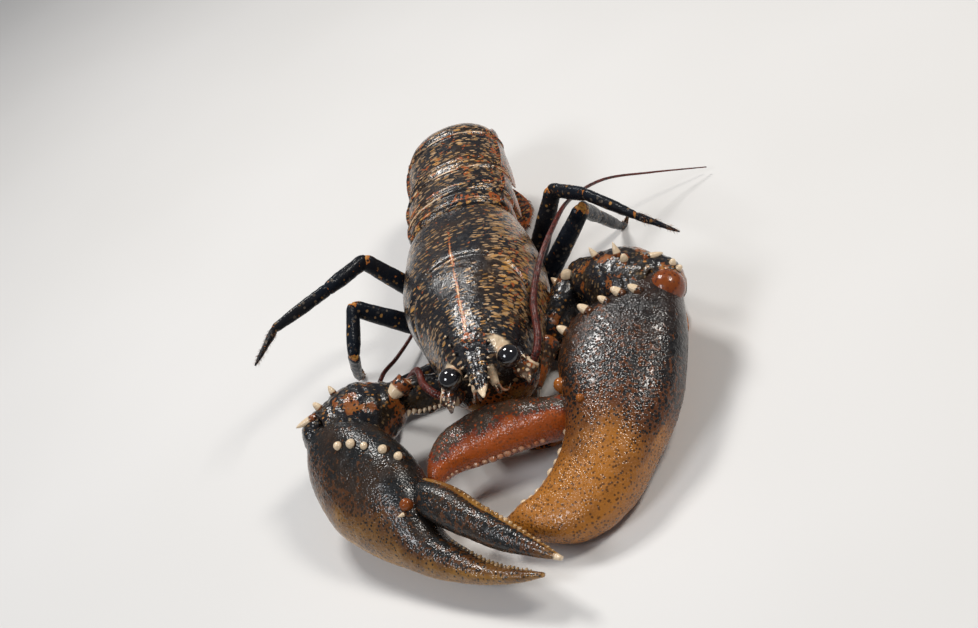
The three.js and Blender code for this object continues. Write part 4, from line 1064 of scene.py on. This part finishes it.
finger_shell = shell_finish(
    "finger_shell", (0.05, 0.036, 0.027), (0.085, 0.045, 0.026), (0.14, 0.09, 0.06), (0.17, 0.03, 0.01),
    (0.4, 0.085, 0.014), BONE, (420, 420, 420), gloss=0.18, dots=0.5, rough=0.8,
)
crusher_dactyl = [
    (86, -15, 105, -1, 24), (92, -20, 112, -6, 32), (102, -40, 120, -14, 32), (114, -57, 130, -24, 30),
    (130, -70, 141, -34, 27), (146, -76, 151, -44, 24), (160, -75, 160, -53, 20), (172, -68, 169, -57, 14),
    (178, -60, 177, -58, 5),
]
grid, along, wide, high = claw_blade(
    crusher, crusher_dactyl, 160, 150, 15, [(1.0, 18, 2), (0.35, 2.4, 3)]
)
orange = np.maximum.reduce([
    0.16 + 0.84 * ease(-wide + 0.7 * (wander(grid, 9, 5) - 0.5), -0.15, 0.75),
    0.8 * ease(along, 150, 172),
    0.9 * ease(high, -0.1, -0.6),
])
shells = [
    skin(grid, orange, 0.75 * ease(along, 172, 178), 0.5),
    *edge_teeth(grid, crusher, range(36, 118, 8), 0.5, 2.4, 2.4, 1, tooth),
    *edge_teeth(grid, crusher, range(122, 152, 6), 0.5, 1.4, 1.6, 1, tooth),
]
lay("crusher_finger", shells, finger_shell, ["crusher_dactyl_left"])


# Cutter: the slimmer right claw, black above and speckled brown to gold at its outer edge, with a row
# of white beads along the palm and small sharp teeth down both fingers.
cutter_shell = shell_finish(
    "cutter_shell", (0.0095, 0.0105, 0.011), (0.03, 0.0165, 0.009), (0.14, 0.095, 0.05),
    (0.085, 0.032, 0.01), (0.44, 0.22, 0.045), BONE, (420, 420, 420), gloss=0.2, dots=0.6, rough=0.7,
)
cutter_palm = [
    (2, 12, 8, -10, 28), (10, 27, 22, -19, 36), (26, 40, 40, -22, 42), (46, 49, 58, -20, 44),
    (70, 50, 80, -14, 42), (94, 48, 100, -1, 36), (118, 44, 116, 14, 28), (143, 38, 140, 18, 22),
    (170, 27, 168, 16, 16), (192, 14, 190, 9, 8), (200, 8, 199, 6, 4),
]
grid, along, wide, high = claw_blade(
    cutter, cutter_palm, 260, 220, 21, [(1.4, 22, 2), (0.3, 2.4, 3)]
)
drift = 0.7 * (wander(grid, 16, 6) - 0.5)
orange = np.maximum.reduce([
    0.14 + 0.56 * ease(wide + 0.005 * along + drift, -0.4, 1.1),
    ease(wide, 0.66, 0.93),
    0.9 * ease(high, -0.2, -0.6),
    0.55 * ease(along, 110, 160) + 0.2 * drift,
])
bead_places = [(37.5, -6.3), (45.7, -11), (54.9, -13), (66.8, -15.5), (76.9, -14.9)]
shells = [
    skin(grid, orange, 0.15 * ease(wide, 0.9, 1), 0.1),
    *placed_beads(grid, cutter, bead_places, (-0.2, 1), 3, 3.6),
    *placed_beads(grid, cutter, [(102, 12)], (0.3, 0.8), 1.5, 5, blunt=1.4),
    *edge_teeth(grid, cutter, range(172, 252, 4), 0.5, 1.3, 1.9, -1, tooth, 1.5),
]
lay("cutter_palm", shells, cutter_shell, ["cutter_palm_right"])
shells = placed_beads(grid, cutter, [(99.8, 6.8)], (-0.3, 1), 4, 3.6, (0.7, 0, 0))
lay("cutter_hinge_knob", shells, knob_shell, [])

cutter_dactyl = [
    (97, -9, 102, 11, 18), (102, -10, 108, 12, 24), (118, -12, 122, 12, 24), (144, -11, 146, 10, 21),
    (167, -10, 168, 7, 16), (190, -9, 190, 1, 10), (208, -8, 208, -5, 4),
]
grid, along, wide, high = claw_blade(
    cutter, cutter_dactyl, 150, 130, 12, [(0.9, 18, 2), (0.25, 2.4, 3)]
)
orange = np.maximum.reduce([
    0.75 * ease(np.abs(wide), 0.86, 0.98),
    0.8 * ease(high, -0.2, -0.6),
    0.28 + 0.35 * ease(along, 170, 205),
])
shells = [
    skin(grid, orange, 0.6 * ease(along, 199, 207), 0.1),
    *edge_teeth(grid, cutter, range(34, 142, 5), 0.0, 1.2, 1.7, 1, tooth, 1.5),
]
lay("cutter_finger", shells, cutter_shell, ["cutter_dactyl_right"])
